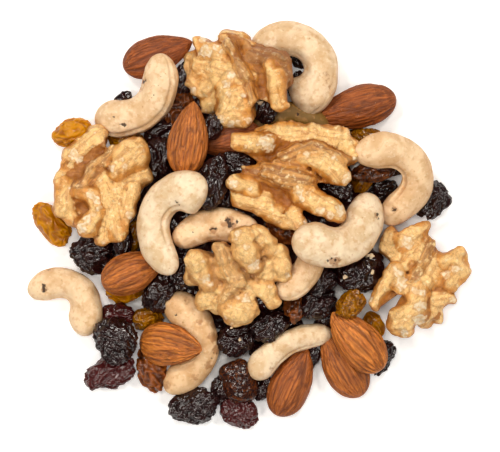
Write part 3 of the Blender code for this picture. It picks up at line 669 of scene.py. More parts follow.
def warped(points, amount, seed):
    """The points pushed about by noise, so that patterns read from them curl."""
    push = np.column_stack([noise(points, seed + k) for k in range(3)])
    return points + push * amount


def layered(points, layers, seed):
    """Noise in layers, each with how often it turns in a millimetre and how deep it goes."""
    return sum(depth * noise(points * often, seed + k) for k, (often, depth) in enumerate(layers))


def lines(points, seed, width):
    """1 on lines that wander through space, falling to 0 on both sides of them."""
    return np.clip(1 - np.abs(noise(points, seed)) / width, 0, 1)


def hill(value, width, centre=0.0):
    """1 at the centre, falling away softly on both sides."""
    return np.exp(-(((value - centre) / width) ** 2))


def closed_faces(rings, around):
    """Faces of a closed skin over rings of points: the first end, the rings, the last end."""
    ring = np.arange(around)
    beside = (ring + 1) % around
    starts = 1 + around * np.arange(rings - 1)[:, None]
    corners = [starts + ring, starts + beside, starts + around + beside, starts + around + ring]
    quads = np.stack(corners, axis=-1)
    last = 1 + around * (rings - 1)
    first_fan = np.column_stack([np.zeros(around, int), 1 + beside, 1 + ring])
    last_fan = np.column_stack([last + ring, last + beside, np.full(around, last + around)])
    return [*quads.reshape(-1, 4).tolist(), *first_fan.tolist(), *last_fan.tolist()]


def ring_angles(rings, around):
    """Angles along a nut and round it for each point of its closed skin."""
    phi = np.repeat(end_to_end(rings + 1), around)
    turn = np.tile(around_angles(around), rings)
    return np.concatenate([[0], phi, [math.pi]]), np.concatenate([[0], turn, [0]])


def cube_ball(side):
    """A ball of radius 1 made of even quads: a cube with its faces divided, blown up."""
    grid = np.tan(np.linspace(-math.pi / 4, math.pi / 4, side + 1))
    first, second = np.meshgrid(grid, grid, indexing="ij")
    sheets = []
    for axis in range(3):
        for sign in (-1, 1):
            sheet = np.empty((side + 1, side + 1, 3))
            sheet[..., axis] = sign
            sheet[..., (axis + 1) % 3] = first * sign
            sheet[..., (axis + 2) % 3] = second
            sheets.append(sheet.reshape(-1, 3))
    points = np.vstack(sheets)
    points /= np.linalg.norm(points, axis=1)[:, None]
    rounded = np.round(points * 1e5).astype(int)
    _, kept, where = np.unique(rounded, axis=0, return_index=True, return_inverse=True)
    row = np.arange(side)[:, None] * (side + 1) + np.arange(side)
    quad = np.stack([row, row + side + 1, row + side + 2, row + 1], axis=-1).reshape(-1, 4)
    quads = np.vstack([quad + k * (side + 1) ** 2 for k in range(6)])
    return points[kept], where.reshape(-1)[quads].tolist()


def skin(points, faces, seed, tone, **marks):
    """A nut's skin with what its material reads: places of its own, its tone and its marks."""
    shift = np.random.default_rng(seed).uniform(-200, 200, 3)
    count = len(points)
    made = {"points": points, "faces": faces, "own": points + shift, "tone": np.full(count, float(tone))}
    made.update({name: np.asarray(value, float) for name, value in marks.items()})
    return made


# Almonds

ALMOND_RINGS = 84
ALMOND_AROUND = 114
ALMOND_EDGE = 0.12
GROOVES_ACROSS = 4.6
GROOVE_WIDTH = 0.34
GROOVE_DEPTH = 0.38
GROOVE_DRIFT = ((0.09, 0.9), (0.35, 0.22))
ALMOND_DENTS = ((0.14, 0.30), (0.5, 0.10))


def almond(number, length, width):
    """An almond with a keen edge round it and grooves that run from end to end."""
    tone, strength = ALMOND_LOOKS[number]
    phi, turn = ring_angles(ALMOND_RINGS, ALMOND_AROUND)
    u = -np.cos(phi)
    half = width / 2 * almond_swell(np.clip(u, -1, 1))
    rise = np.sin(turn) * np.abs(np.sin(turn)) ** ALMOND_EDGE
    points = np.column_stack([u * length / 2, half * np.cos(turn), half * ALMOND_FLATNESS * rise])

    seed = 7 * number
    drift = layered(points, GROOVE_DRIFT, seed + 1)
    meridian = np.column_stack([
        GROOVES_ACROSS * np.cos(turn) + drift, GROOVES_ACROSS * np.sin(turn), 0.8 * u + drift,
    ])
    broad = lines(meridian, seed + 3, GROOVE_WIDTH) ** 1.5
    thin = lines(meridian * 1.8, seed + 4, GROOVE_WIDTH) ** 1.5
    groove = np.maximum(broad, 0.6 * thin) * np.clip(np.sin(phi) * 3, 0, 1)
    out = layered(points, ALMOND_DENTS, seed + 5) - GROOVE_DEPTH * strength * groove
    out *= np.clip(np.sin(phi) * 2, 0, 1)
    radius = np.maximum(np.hypot(points[:, 1], points[:, 2]), 0.5)
    points[:, 1:] *= (1 + out / radius)[:, None]
    return skin(points, closed_faces(ALMOND_RINGS, ALMOND_AROUND), number, tone, groove=groove)


# Cashews

CASHEW_RINGS = 108
CASHEW_AROUND = 72
LOOK_BLUNTNESS = 3.9
RIM_TURN = math.pi - 0.75
RIM_WIDTH = 0.085
SEAM_TURN = 0.62
SEAM_WIDTH = 0.10
LIP_WIDTH = 0.16
FIRST_END = (0.13, 0.14)
LAST_END = (0.15, 0.86)
CASHEW_DENTS = ((0.11, 0.45), (0.33, 0.16), (0.9, 0.05))


def bump_at(turn, centre, width):
    """A hill at an angle round a nut."""
    return hill((turn - centre + math.pi) % (2 * math.pi) - math.pi, width)


def cashew(number, length, bend, width):
    """A cashew with soft dents, the rim of its split face and the seam on its hollow side."""
    tone, rim, seam, pinched, bulge, first, last = CASHEW_LOOKS[number]
    step, line, heading = cashew_line(length, bend)
    phi, turn = ring_angles(CASHEW_RINGS, CASHEW_AROUND)
    s = 0.5 - 0.5 * np.cos(phi)
    centre = np.column_stack([np.interp(s, step, line[:, 0]), np.interp(s, step, line[:, 1])])
    ahead = np.interp(s, step, heading)
    across = np.column_stack([-np.sin(ahead), np.cos(ahead)])
    half = width / 2 * cashew_swell(np.clip(s, 0, 1), LOOK_BLUNTNESS)
    plain = np.column_stack([centre + across * (half * np.cos(turn))[:, None], half * np.sin(turn)])

    seed = 100 + 9 * number
    waist = np.sin(math.pi * s)
    pinch = 1 - pinched * waist**4 * np.clip(np.cos(turn), 0, 1)
    wander = 0.12 * noise(plain * 0.16, seed)
    out = layered(plain, CASHEW_DENTS, seed + 1)
    out += (bulge * np.clip(np.cos(turn), 0, 1) + first) * hill(s, *FIRST_END)
    out += last * hill(s, *LAST_END)
    rim_line = bump_at(turn + wander, RIM_TURN, RIM_WIDTH)
    rim_lip = 0.5 * bump_at(turn + wander, RIM_TURN + 0.18, LIP_WIDTH)
    out += rim * (rim_lip - rim_line) * np.clip(4 * waist, 0, 1)
    seam_line = bump_at(turn + wander, SEAM_TURN, SEAM_WIDTH)
    seam_lip = 0.3 * bump_at(turn + wander, SEAM_TURN - 0.22, LIP_WIDTH)
    out += seam * (seam_lip - 0.8 * seam_line) * waist**2
    reach_out = half * pinch + out * np.clip(3 * np.sin(phi), 0, 1)
    sideways = centre + across * (reach_out * np.cos(turn))[:, None]
    points = np.column_stack([sideways, reach_out * CASHEW_FLATNESS * np.sin(turn)])
    crease = np.clip(rim * rim_line + seam * waist**2 * seam_line, 0, 1)
    return skin(points, closed_faces(CASHEW_RINGS, CASHEW_AROUND), seed, tone, groove=crease)


# Raisins

RIDGE_WIDTH = 1 / 2.4
RIDGE_STRETCH = (0.24, 0.36, 0.36)
RIDGE_CURL = 0.6
SMALL_RIDGES = 1.9
PLUMP_SEED = len(GOLDEN_RAISINS) + 5
PLUMP_WRINKLES = 0.22

# Each kind's ball, and how deep its wrinkles are.
LIGHT_BALL = cube_ball(26)
SMALL_BALL = cube_ball(17)
RAISIN_SKINS = {
    "golden_raisins": (LIGHT_BALL, 0.62),
    "brown_raisins": (LIGHT_BALL, 1.0),
    "dark_raisins": (cube_ball(25), 1.0),
    "deep_raisins_and_shade": (SMALL_BALL, 1.0),
}


def raisin(kind, seed, length, width, tone):
    """A shrivelled raisin: ridges that fork and meet over a dented body."""
    (round_points, faces), shrink = RAISIN_SKINS[kind]
    if seed == PLUMP_SEED:
        shrink = PLUMP_WRINKLES
    body = raisin_body(round_points, length, width, seed)
    curled = warped(body * RIDGE_STRETCH, RIDGE_CURL, 11 * seed + 200)
    ridge = lines(curled, 11 * seed + 203, RIDGE_WIDTH)
    small = lines(curled * SMALL_RIDGES, 11 * seed + 204, RIDGE_WIDTH)
    broad = noise(body * 0.16, 11 * seed + 205)
    height = shrink * (1.05 * (ridge - 0.55) + 0.45 * (small - 0.5) + 0.8 * broad) - 0.10
    inward = round_points / np.linalg.norm(round_points, axis=1)[:, None]
    points = body + inward * (height * min(width, 10) / 10)[:, None]
    return skin(points, faces, seed + 300, tone, groove=np.clip(1 - 0.6 * ridge - 0.4 * small, 0, 1))


# Crumbs


def crumb(number, column, row, length, upper, middle):
    """A chip of nut that lies on what is under it."""
    ball_points, faces = SMALL_BALL
    seed = 400 + number
    x, y = from_photo(column, row, middle)
    near = np.hypot(upper[:, 0] - x, upper[:, 1] - y) < length / 3
    swell = 1 + 0.7 * noise(ball_points * 1.3, seed)
    points = ball_points * np.array([length, length * 0.62, length * 0.4]) / 2 * swell[:, None]
    heights = upper[near, 2]
    rest = np.median(heights[heights > heights.max() - 2])
    points = points @ turned(70 * number, 0, 0).T + (x, y, rest)
    return skin(points, faces, seed, 0.2, groove=np.zeros(len(points)))


# Walnuts


def lobe_gap(points, height, chain):
    """Distance of each point from a lobe's skin, and the heading of the part that is nearest."""
    radii = [radius * LOBE_TRIM for _, _, radius in chain]
    most = max(radii)
    above = points[:, 2] - height
    depth = np.clip(-above / (most + LOBE_DEPTH), 0, 1)
    lift = np.where(above > 0, above, -depth * most + np.minimum(above + most + LOBE_DEPTH, 0))
    flat = points[:, :2] / (1 - (1 - LOBE_PULL_IN) * depth)[:, None]
    best = np.full(len(points), np.inf)
    way = np.zeros((len(points), 2))
    for (x0, y0, _), (x1, y1, _), r0, r1 in zip(chain, chain[1:], radii, radii[1:]):
        start = np.array([x0, y0])
        run = np.array([x1 - x0, y1 - y0])
        length = np.hypot(*run)
        t = np.clip((flat - start) @ run / length**2, 0, 1)
        away = ((flat - start - t[:, None] * run) ** 2).sum(axis=1)
        gap = np.sqrt(away + lift**2) - (r0 + t * (r1 - r0))
        way[gap < best] = run / length
        best = np.minimum(best, gap)
    return best, way


def soft_union(first, second, blend):
    share = np.clip(0.5 + 0.5 * (second - first) / blend, 0, 1)
    return second + (first - second) * share - blend * share * (1 - share)


def walnut_field(points, lobes, outline, seed):
    """Distance from the walnut's skin, and for each point how much painted shade it gets in its creases and
    on the shaded lobe, how papery and bulging it is, and its place along and across the nearest lobe."""
    bearing = np.arctan2(points[:, 1], points[:, 0])
    edge = np.interp(bearing, around_angles(len(outline)), outline, period=2 * math.pi)
    out = np.hypot(points[:, 0], points[:, 1])
    half = edge * SHELL_SHARE
    below = np.minimum(points[:, 2], 0)
    share = np.maximum(np.hypot(out / half, below / SHELL_DEPTH), 1e-3)
    slope = np.maximum(np.hypot(out / half**2, below / SHELL_DEPTH**2), 1e-3)
    top = HOLLOW_TOP[0] + HOLLOW_TOP[1] * (out / edge) ** 2
    body = np.maximum(share * (share - 1) / slope, points[:, 2] - top)

    curled = warped(points / LOBE_BEND[0], LOBE_BEND[1], seed) * LOBE_BEND[0]
    nearest = body.copy()
    second = np.full(len(points), np.inf)
    papery = np.full(len(points), BODY_PAPERY)
    scalloped = np.zeros(len(points))
    shaded = np.zeros(len(points))
    crest = np.zeros(len(points))
    way = np.tile([1.0, 0.0], (len(points), 1))
    field = body
    for name, (height, *chain) in lobes.items():
        gap, heading = lobe_gap(curled, height, chain)
        field = soft_union(field, gap, SOFT_JOIN)
        closer = gap < nearest
        second = np.where(closer, nearest, np.minimum(second, gap))
        way[closer] = heading[closer]
        papery[closer] = float(name in PAPERY)
        scalloped[closer] = float(name == SCALLOPED)
        shaded[closer] = SHADE * (name == SHADED)
        crest[closer] = (points[closer, 2] - height) / widest(chain)
        nearest = np.minimum(nearest, gap)
    along = (points[:, :2] * way).sum(axis=1)
    beside = points[:, 0] * -way[:, 1] + points[:, 1] * way[:, 0]
    fibre = np.column_stack([along * FIBRE_STRETCH, beside, points[:, 2]])
    for number, (wave, depth) in enumerate(LUMPS):
        field = field + depth * noise(points / wave, seed + 10 + number)
    puff = np.abs(noise(warped(points / PUFF_WAVE, PUFF_CURL, seed + 20), seed + 24))
    field = field - PUFF_DEPTH * (np.sqrt(puff**2 + 0.02) - 0.2) * (1 - 0.6 * papery)
    field = field + FIBRE_DEPTH * papery * noise(fibre / FIBRE_WAVE, seed + 30)
    rib = noise(fibre * (3, 1, 1) / RIB_WAVE, seed + 40)
    field = field + RIB_DEPTH * (1 - papery) * np.abs(rib)
    field = field + SCALLOP_DEPTH * scalloped * np.cos(along * 2 * math.pi / SCALLOP_WAVE)
    # The crease mask is painted shade: in the folds between lobes and puffs, and over the shaded lobe.
    fold_shade = 0.5 * np.maximum(hill(second - nearest, CREASE_WIDTH), np.clip(1 - puff / PUFF_CREASE, 0, 1))
    crease = np.maximum(fold_shade, shaded)
    return field, np.column_stack([crease, papery, np.clip(crest, 0, 1)]), fibre


def surface_net(field, low, cell):
    """Points and quads of the surface where a field on a grid is zero, one point to a grid cell."""
    shape = np.array(field.shape)
    total = np.zeros((*(shape - 1), 3))
    hits = np.zeros(shape - 1)
    sides = []
    for axis in range(3):
        before = np.take(field, range(shape[axis] - 1), axis)
        after = np.take(field, range(1, shape[axis]), axis)
        crossed = (before < 0) != (after < 0)
        spot = np.argwhere(crossed)
        place = spot.astype(float)
        place[:, axis] += before[crossed] / (before[crossed] - after[crossed])
        one, two = np.eye(3, dtype=int)[[(axis + 1) % 3, (axis + 2) % 3]]
        corners = [spot - one - two, spot - two, spot, spot - one]
        for corner in corners:
            np.add.at(total, tuple(corner.T), place)
            np.add.at(hits, tuple(corner.T), 1)
        outward = before[crossed] < 0
        sides.append((corners, outward))
    used = hits > 0
    number = np.cumsum(used.ravel()).reshape(used.shape) - 1
    points = total[used] / hits[used][:, None] * cell + low
    quads = []
    for corners, outward in sides:
        quad = np.column_stack([number[tuple(corner.T)] for corner in corners])
        quads.append(np.where(outward[:, None], quad, quad[:, ::-1]))
    return points, np.vstack(quads).tolist()


def joined(lobes):
    """The lobes, each that starts where the one before it ends made part of that one."""
    made = {}
    last = None
    for name, row in lobes.items():
        if last and row[0] == made[last][0] and row[1] == made[last][-1]:
            made[last] = (*made[last], *row[2:])
        else:
            made[name] = row
            last = name
    return made


def shifted(row, shift):
    """A lobe's row with its places moved."""
    height, *chain = row
    return height, *[(x + shift[0], y + shift[1], radius) for x, y, radius in chain]


def walnut(number, lobes):
    """A walnut half: lobes and a shell side joined softly, with folds, lumps and papery ridges."""
    seed = 700 + 50 * number
    if number == NUDGED_WALNUT:
        lobes = {name: shifted(row, LOBE_NUDGES.get(name, (0, 0))) for name, row in lobes.items()}
    lobes = joined(lobes)
    outline = walnut_outline(lobes, 64)
    reach_out = outline.max() + NET_MARGIN
    tops = [height + widest(chain) for height, *chain in lobes.values()]
    low = np.array([-reach_out, -reach_out, -SHELL_DEPTH - NET_MARGIN])
    high = np.array([reach_out, reach_out, max(tops) + NET_MARGIN])
    counts = ((high - low) / NET_CELL).astype(int) + 2
    grid = np.stack(np.meshgrid(*[np.arange(count) for count in counts], indexing="ij"), axis=-1)
    places = grid.reshape(-1, 3) * NET_CELL + low
    field, *_ = walnut_field(places, lobes, outline, seed)
    points, faces = surface_net(field.reshape(counts), low, NET_CELL)
    _, relief, fibre = walnut_field(points, lobes, outline, seed)
    return skin(points, faces, seed, WALNUT_TONES[number], relief=relief, fibre=fibre)


# Pieces


def placed(part, turn, place):
    """A part moved to where it lies. What would be under the table is pressed flat on it."""
    points = part["points"] @ turn.T + place
    points[:, 2] = np.maximum(points[:, 2], 0)
    return {**part, "points": points}


def show(name, data):
    made = bpy.data.objects.new(name, data)
    bpy.context.scene.collection.objects.link(made)
    return made


def make_piece(name, parts, slot, material):
    """One object of all nuts of a kind. What their material reads becomes attributes."""
    points = []
    faces = []
    for part in parts:
        start = len(points)
        points.extend((part["points"] * MM).tolist())
        faces.extend([corner + start for corner in face] for face in part["faces"])
    mesh = bpy.data.meshes.new(name)
    mesh.from_pydata(points, [], faces)
    mesh.shade_smooth()
    mesh.materials.append(material)
    for mark in [name for name in parts[0] if name not in ("points", "faces")]:
        values = np.concatenate([part[mark] for part in parts])
        vector = values.ndim == 2
        attribute = mesh.attributes.new(mark, "FLOAT_VECTOR" if vector else "FLOAT", "POINT")
        attribute.data.foreach_set("vector" if vector else "value", values.astype(np.float32).ravel())
    piece = show(name, mesh)
    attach(piece, "root")
    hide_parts(NODE)
    return piece


def from_photo(column, row, middle):
    """Place in the row frame, in millimetres, of a column and row in the photograph."""
    return (column - ORIGIN_COLUMN) * PIXEL - middle[0], (ORIGIN_ROW - row) * PIXEL - middle[1]


def paint(piece, mark, spots, middle, edge, sink):
    """Writes where a piece's upper side has spots, and presses the spots in a little."""
    mesh = piece.data
    count = len(mesh.vertices)
    points = np.empty(count * 3)
    mesh.vertices.foreach_get("co", points)
    points = points.reshape(-1, 3) / MM
    normals = np.empty(count * 3, np.float32)
    mesh.vertex_normals.foreach_get("vector", normals)
    normals = normals.reshape(-1, 3)
    wobble = 1 + 0.6 * noise(points * 0.7, 41)
    strength = np.full(count, -1.0)
    for column, row, radius in spots:
        x, y = from_photo(column, row, middle)
        away = np.hypot(points[:, 0] - x, points[:, 1] - y)
        strength = np.maximum(strength, (radius * wobble - away) / edge + 0.5)
    strength -= 2 * np.clip(0.3 - normals[:, 2], 0, 1)
    attribute = mesh.attributes.new(mark, "FLOAT", "POINT")
    attribute.data.foreach_set("value", strength.astype(np.float32))
    points -= normals * (sink * np.clip(strength, 0, 1))[:, None]
    mesh.vertices.foreach_set("co", (points * MM).ravel())
    mesh.update()


# Materials

# The table's glow: how strong, and from where to where it grows, in millimetres from the middle.
GLOW = 0.35
GLOW_START = 40.0
GLOW_END = 66.0

# The walnut skin's wrinkles: how many to a millimetre, and how wide, for the large and the small.
WRINKLES = ((0.26, 0.018), (0.62, 0.022))


def colour(red, green, blue):
    """A colour given in display values from 0 to 255."""
    channels = np.array([red, green, blue]) / 255
    linear = np.where(channels <= 0.04045, channels / 12.92, ((channels + 0.055) / 1.055) ** 2.4)
    return (*linear.tolist(), 1.0)


class Look:
    """A material made of nodes, whose base colour is laid on in coats."""

    def __init__(self, name, **sockets):
        self.material = bpy.data.materials.new(name)
        self.material.use_nodes = True
        self.tree = self.material.node_tree
        self.shader = self.tree.nodes["Principled BSDF"]
        for socket, value in sockets.items():
            self.shader.inputs[socket.replace("_", " ")].default_value = value

    def add(self, kind, inputs, **settings):
        """A node with its settings, and its inputs linked or set."""
        made = self.tree.nodes.new("ShaderNode" + kind)
        for name, value in settings.items():
            setattr(made, name, value)
        for key, value in inputs.items():
            if isinstance(value, bpy.types.NodeSocket):
                self.tree.links.new(value, made.inputs[key])
            else:
                made.inputs[key].default_value = value
        return made

    def mark(self, name, output="Fac"):
        return self.add("Attribute", {}, attribute_name=name).outputs[output]

    def cloud(self, scale, detail=3, distortion=0.0, mark="own", stretch=(1, 1, 1)):
        """Noise read from the places that a mark holds."""
        place = self.add("VectorMath", {0: self.mark(mark, "Vector"), 1: stretch}, operation="MULTIPLY")
        inputs = {"Vector": place.outputs[0], "Scale": scale, "Detail": detail, "Distortion": distortion}
        return self.add("TexNoise", inputs).outputs["Fac"]

    def calc(self, operation, first, second=0.0):
        return self.add("Math", {0: first, 1: second}, operation=operation).outputs[0]

    def plus(self, first, second, share):
        """The first value with a share of the second on top."""
        return self.calc("ADD", first, self.calc("MULTIPLY", second, share))

    def rising(self, value, low, high):
        """0 below low, 1 above high and a smooth rise between them."""
        inputs = {"Value": value, "From Min": low, "From Max": high}
        return self.add("MapRange", inputs, interpolation_type="SMOOTHSTEP").outputs["Result"]

    def falling(self, value, low, high):
        return self.calc("SUBTRACT", 1.0, self.rising(value, low, high))

    def side_shade(self):
        """Mask of painted shade on the sides: 0 where a skin faces up, 1 where it stands upright or hangs
        over.
        """
        normal = self.add("NewGeometry", {}).outputs["Normal"]
        return self.falling(self.add("SeparateXYZ", {0: normal}).outputs[2], 0.0, 0.8)

    def mix(self, factor, first, second):
        """From the first colour to the second by the factor."""
        first, second = (colour(*tint) if isinstance(tint, tuple) else tint for tint in (first, second))
        return self.add("Mix", {"Factor": factor, 6: first, 7: second}, data_type="RGBA").outputs[2]

    def coat(self, tint, share, mask, low=None, high=None):
        """A share of colour over the base where the mask is high, or where it rises past low."""
        if low is not None:
            mask = self.rising(mask, low, high)
        self.base = self.mix(self.calc("MULTIPLY", mask, share), self.base, tint)

    def finish(self, roughness, height, distance):
        """Links colour, roughness and a bump whose distance is in metres."""
        bump = self.add("Bump", {"Height": height, "Distance": distance, "Strength": 1.0})
        ends = {"Base Color": self.base, "Roughness": roughness, "Normal": bump.outputs["Normal"]}
        for socket, value in ends.items():
            self.tree.links.new(value, self.shader.inputs[socket])
        return self.material


def almond_material():
    look = Look("almond_skin", Specular_IOR_Level=0.35)
    streak = look.cloud(2.4, 4, 0.4, stretch=(0.05, 1, 1))
    grain = look.rising(streak, 0.34, 0.68)
    patch = look.cloud(0.22)
    fair = look.mix(grain, (236, 146, 58), (196, 106, 38))
    deep = look.mix(grain, (172, 88, 34), (126, 58, 18))
    look.base = look.mix(look.mark("tone"), fair, deep)
    look.coat((136, 66, 20), 0.30, patch, 0.40, 0.75)
    look.coat((78, 32, 8), 0.80, look.mark("groove"))
    look.coat((220, 150, 84), 0.18, look.cloud(1.5, 5), 0.62, 0.74)
    look.coat((240, 205, 165), 0.6, look.cloud(2.6, 1), 0.76, 0.80)
    # Painted shade on the almond's steep sides.
    look.coat((104, 44, 10), 0.45, look.side_shade())
    return look.finish(look.plus(0.34, patch, 0.2), look.plus(streak, look.cloud(3.5, 4), 0.4), 0.00026)


def cashew_material():
    look = Look(
        "cashew_kernel", Specular_IOR_Level=0.35, Subsurface_Weight=0.15, Subsurface_Scale=0.0012,
        Subsurface_Radius=(1.0, 0.7, 0.4),
    )
    broad = look.cloud(0.16, 4, 0.6)
    patch = look.rising(broad, 0.35, 0.68)
    mottle = look.cloud(0.55, 5)
    tone = look.mark("tone")
    pale = look.mix(patch, (245, 227, 198), (220, 192, 152))
    look.base = look.mix(tone, pale, look.mix(patch, (242, 180, 100), (214, 144, 70)))
    # Painted shade: a tone above 1 darkens a cashew that lies in shade to olive brown.
    look.coat((104, 78, 22), 1.0, tone, 1.0, 2.0)
    look.coat((200, 144, 82), 0.42, mottle, 0.50, 0.68)
    less = look.calc("MAXIMUM", look.plus(0.45, tone, -0.42), 0.0)
    look.coat((252, 236, 206), less, look.cloud(0.8, 5), 0.56, 0.70)
    look.coat((156, 100, 46), 0.5, look.cloud(1.1, 2), 0.70, 0.76)
    look.coat((168, 108, 46), 0.50, look.mark("groove"))
    # Painted shade on the cashew's steep sides.
    look.coat((186, 122, 58), 0.40, look.side_shade())
    look.coat((160, 98, 42), 0.65, look.plus(look.mark("blot"), look.cloud(0.9, 4), 2.2), 1.40, 2.20)
    look.coat((50, 28, 12), 0.92, look.plus(look.mark("pit"), look.cloud(1.2), 2.0), 1.55, 1.85)
    return look.finish(look.plus(0.38, broad, 0.2), look.plus(mottle, look.cloud(2.5, 5), 0.6), 0.00022)


def walnut_material():
    look = Look(
        "walnut_kernel", Specular_IOR_Level=0.45, Subsurface_Weight=0.10, Subsurface_Scale=0.001,
        Subsurface_Radius=(1.0, 0.6, 0.3),
    )
    groove, paper, crest = look.add("SeparateXYZ", {0: look.mark("relief", "Vector")}).outputs
    broad = look.cloud(0.20, 3, 0.5)
    streak = look.cloud(0.9, 4, 0.3, "fibre")
    convex = look.add("NewGeometry", {}).outputs["Pointiness"]
    # Partly the skin's own colour and partly painted light and shade: paler on the tops of the lobes, darker
    # lower down.
    rise = look.plus(crest, look.calc("SUBTRACT", broad, 0.5), 1.1)
    look.base = look.mix(look.rising(rise, -0.1, 0.55), (172, 100, 26), (224, 152, 66))
    look.coat((250, 204, 134), 1.0, rise, 0.45, 0.95)
    look.coat((188, 112, 38), 0.55, streak, 0.46, 0.66)
    husk = look.mix(look.rising(streak, 0.36, 0.62), (208, 140, 62), (136, 74, 24))
    look.coat(husk, 0.75, paper)
    # Pale patches on the lobe tops: partly rubbed skin and partly painted highlight.
    rub_and_highlight = look.rising(look.cloud(0.75, 4), 0.54, 0.70)
    look.coat((255, 230, 178), 0.75, look.calc("MULTIPLY", rub_and_highlight, look.rising(crest, 0.2, 0.9)))
    # Painted highlight on the sharp ridges, by pointiness.
    look.coat((252, 220, 160), 0.6, convex, 0.51, 0.58)
    look.coat((250, 208, 142), 0.55, look.mark("tone"))
    # Painted shade in the hollows, by pointiness.
    look.coat((118, 58, 12), 0.85, look.falling(convex, 0.40, 0.495))
    wrinkles = []
    for scale, width in WRINKLES:
        vein = look.calc("ABSOLUTE", look.calc("SUBTRACT", look.cloud(scale, 3, 1.2), 0.5))
        wrinkles.append(look.falling(vein, 0.0, width))
    wrinkle = look.calc("MAXIMUM", *wrinkles)
    look.coat((146, 80, 24), 0.36, wrinkle)
    # Painted shade in the creases between lobes and puffs, and over the shaded lobe.
    look.coat((128, 66, 16), 0.60, groove, 0.2, 1.0)
    # Painted shade on the walnut's steep sides.
    look.coat((140, 74, 18), 0.40, look.side_shade())
    torn = look.cloud(0.9, mark="fibre", stretch=(2.5, 1, 1))
    ragged = look.plus(look.mark("bare"), torn, 0.9)
    look.coat((190, 124, 56), 0.35, ragged, 0.62, 0.92)
    white = look.mix(look.rising(look.cloud(0.9, 4), 0.4, 0.6), (252, 232, 200), (236, 198, 146))
    look.coat(white, 0.88, ragged, 0.84, 1.24)
    height = look.plus(look.plus(streak, look.cloud(1.8, 5), 0.8), wrinkle, -0.35)
    return look.finish(look.plus(0.25, broad, 0.2), height, 0.00022)


def raisin_material(name, high, low, deep, scatter, shine):
    """A raisin's skin: the colours on its ridges and in its hollows, and what its tone leads to."""
    look = Look(
        name, Specular_IOR_Level=shine, Subsurface_Weight=scatter, Subsurface_Scale=0.0025,
        Subsurface_Radius=(1.0, 0.45, 0.12),
    )
    fine = look.cloud(1.0, 4, 0.8)
    look.base = look.mix(look.rising(look.mark("groove"), 0.2, 0.9), high, low)
    look.coat(low, 0.5, look.cloud(0.25, 3, 0.5), 0.45, 0.75)
    some = look.plus(0.5, look.rising(fine, 0.35, 0.7), 0.5)
    look.coat(deep, some, look.mark("tone"))
    return look.finish(look.plus(0.10, fine, 0.16), look.plus(fine, look.cloud(2.4), 0.2), 0.00009)


def floor_material():
    """A white table that shines a little outside the heap, where a photograph burns it out."""
    white = (1, 1, 1, 1)
    look = Look("white_table", Base_Color=(0.93, 0.93, 0.93, 1), Roughness=0.8, Emission_Color=white)
    place = look.add("TexCoord", {}).outputs["Object"]
    out = look.add("VectorMath", {0: place}, operation="LENGTH").outputs["Value"]
    glow = look.calc("MULTIPLY", look.rising(out, GLOW_START * MM, GLOW_END * MM), GLOW)
    look.tree.links.new(glow, look.shader.inputs["Emission Strength"])
    return look.material


dark_skin = raisin_material("dark_raisin_skin", (33, 13, 13), (5, 3, 3), (84, 24, 24), 0.05, 0.6)
brown_skin = raisin_material("brown_raisin_skin", (156, 80, 18), (78, 34, 8), (38, 15, 13), 0.15, 0.5)
# The golden raisins' deep colour, which their tones bring on, is partly painted shade for those that lie in
# shade.
golden_skin = raisin_material("golden_raisin_skin", (210, 138, 0), (168, 96, 0), (80, 44, 4), 0.15, 0.3)
kernel = cashew_material()

# Each piece's slot and material.
DRESS = {
    "almonds": ("almond", almond_material()),
    "cashews": ("cashew", kernel),
    "walnuts": ("walnut", walnut_material()),
    "golden_raisins": ("golden_raisin", golden_skin),
    "brown_raisins": ("raisin", brown_skin),
    "dark_raisins": ("raisin", dark_skin),
    "deep_raisins_and_shade": ("raisin", dark_skin),
    "crumbs": ("mix", kernel),
}

# The pieces

nuts = pile()
poses = settle(nuts)
middle = heap_middle(nuts, poses)
kinds = {}
for (_, x, y, _, _, kind, fine), (turn, place) in zip(nuts, poses):
    *nudge, spin = NUDGES.get((x, y), (0, 0, 0))
    turn = turned(spin, 0, 0) @ turn
    kinds.setdefault(kind, []).append(placed(fine(), turn, place + (*nudge, 0) - middle))
# Dark raisins deep in the gaps, partly painted shade where a gap holds only shade.
kinds["deep_raisins_and_shade"] = []
first_deep = sum(len(rows) for rows, _ in RAISINS.values())
for seed, (x, y, z, bearing, length, width) in enumerate(DEEP_RAISINS_AND_SHADE, first_deep):
    part = raisin("deep_raisins_and_shade", seed, length, width, DARK_TONE)
    kinds["deep_raisins_and_shade"].append(placed(part, turned(bearing, 0, 0), np.array([x, y, z]) - middle))

upper = np.vstack([part["points"] for parts in kinds.values() for part in parts])
kinds["crumbs"] = [crumb(number, *row, upper, middle) for number, row in enumerate(CRUMBS)]
pieces = {kind: make_piece(kind, parts, *DRESS[kind]) for kind, parts in kinds.items()}
paint(pieces["walnuts"], "bare", BARE_SPOTS, middle, 1.5, 0.10)
paint(pieces["cashews"], "pit", CASHEW_MARKS, middle, 0.9, 0.30)
paint(pieces["cashews"], "blot", CASHEW_BLOTS, middle, 1.6, 0.10)

# The core under the heap: dark fruit that shows in the deepest gaps, kept dark as painted shade there.
CORE_POINTS = (190, 110)
CORE_LUMPS = ((7.0, 1.6), (3.0, 0.7))
CORE_RIDGES = (3.0, 0.8)
CORE_DROP = 1.2


def core():
    """The dome with the lumps and ridges of dark fruit, whose darkness is also painted shade in the deepest
    gaps.
    """
    dome = mound(*DOME, CORE_POINTS)
    out = sum(depth * noise(warped(dome / wave, 0.4, 900), 910) for wave, depth in CORE_LUMPS)
    wave, depth = CORE_RIDGES
    ridge = lines(warped(dome / wave, 0.5, 920), 925, 0.4)
    dome[:, 2] += np.where(dome[:, 2] > 0, out + depth * ridge - CORE_DROP, 0)
    faces = closed_faces(CORE_POINTS[1] - 1, CORE_POINTS[0])
    return skin(dome, faces, 930, 0.3, groove=1 - ridge)


make_piece("core", [placed(core(), np.eye(3), -middle)], "raisin", dark_skin)

# The table

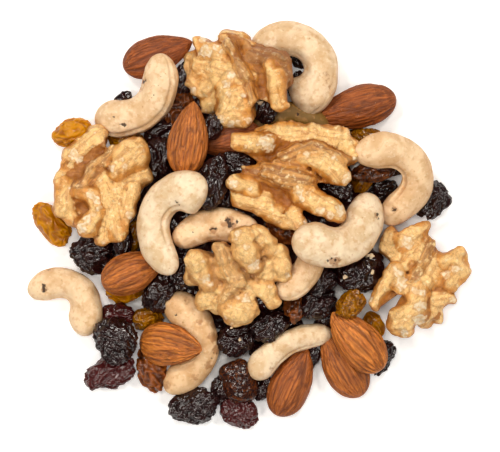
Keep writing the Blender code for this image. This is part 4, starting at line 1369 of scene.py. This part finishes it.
FLOOR_SIDE = 4.0
floor_mesh = bpy.data.meshes.new("table")
far = FLOOR_SIDE / 2
corners = [(-far, -far, 0), (far, -far, 0), (far, far, 0), (-far, far, 0)]
floor_mesh.from_pydata(corners, [], [(0, 1, 2, 3)])
floor_mesh.materials.append(floor_material())
show("table", floor_mesh)

# Lights: pale surroundings, a ring of lamps half-way up, which leave the gaps dark, and one above

LAMP_OUT = 520.0
LAMP_UP = 540.0
LAMP_SIDE = 100.0
LAMP_POWERS = (1.00, 1.60, 1.70, 1.35, 0.85, 0.85)
TOP_LIGHT = ((-60, 90, 900), 260, 1.8)
WARM = (1.0, 0.955, 0.885)
WORLD_STRENGTH = 0.09


def soft_light(place, side, power):
    """A square light that faces the heap."""
    data = bpy.data.lights.new("soft_light", "AREA")
    data.shape = "SQUARE"
    data.size = side * MM
    data.energy = power
    data.color = WARM
    light = show("soft_light", data)
    x, y, z = (value * MM for value in place)
    light.location = (x, y, z)
    light.rotation_euler = (math.atan2(math.hypot(x, y), z), 0, math.atan2(y, x) + math.pi / 2)


soft_light(*TOP_LIGHT)
for turn, power in zip(around_angles(len(LAMP_POWERS)), LAMP_POWERS):
    soft_light((LAMP_OUT * math.cos(turn), LAMP_OUT * math.sin(turn), LAMP_UP), LAMP_SIDE, power)
world = bpy.data.worlds.new("pale_room")
world.use_nodes = True
backdrop = world.node_tree.nodes["Background"]
backdrop.inputs["Color"].default_value = (*WARM, 1)
backdrop.inputs["Strength"].default_value = WORLD_STRENGTH
bpy.context.scene.world = world
bpy.context.scene.view_settings.view_transform = "Standard"

# The camera

camera_data = bpy.data.cameras.new("camera")
camera_data.sensor_width = SENSOR
camera_data.lens = SENSOR * (CAMERA_HEIGHT - FOCUS_HEIGHT) / (PHOTO_COLUMNS * PIXEL)
camera = show("camera", camera_data)
above_x, above_y = from_photo(PHOTO_COLUMNS / 2, PHOTO_ROWS / 2, middle)
camera.location = (above_x * MM, above_y * MM, CAMERA_HEIGHT * MM)
bpy.context.scene.camera = camera
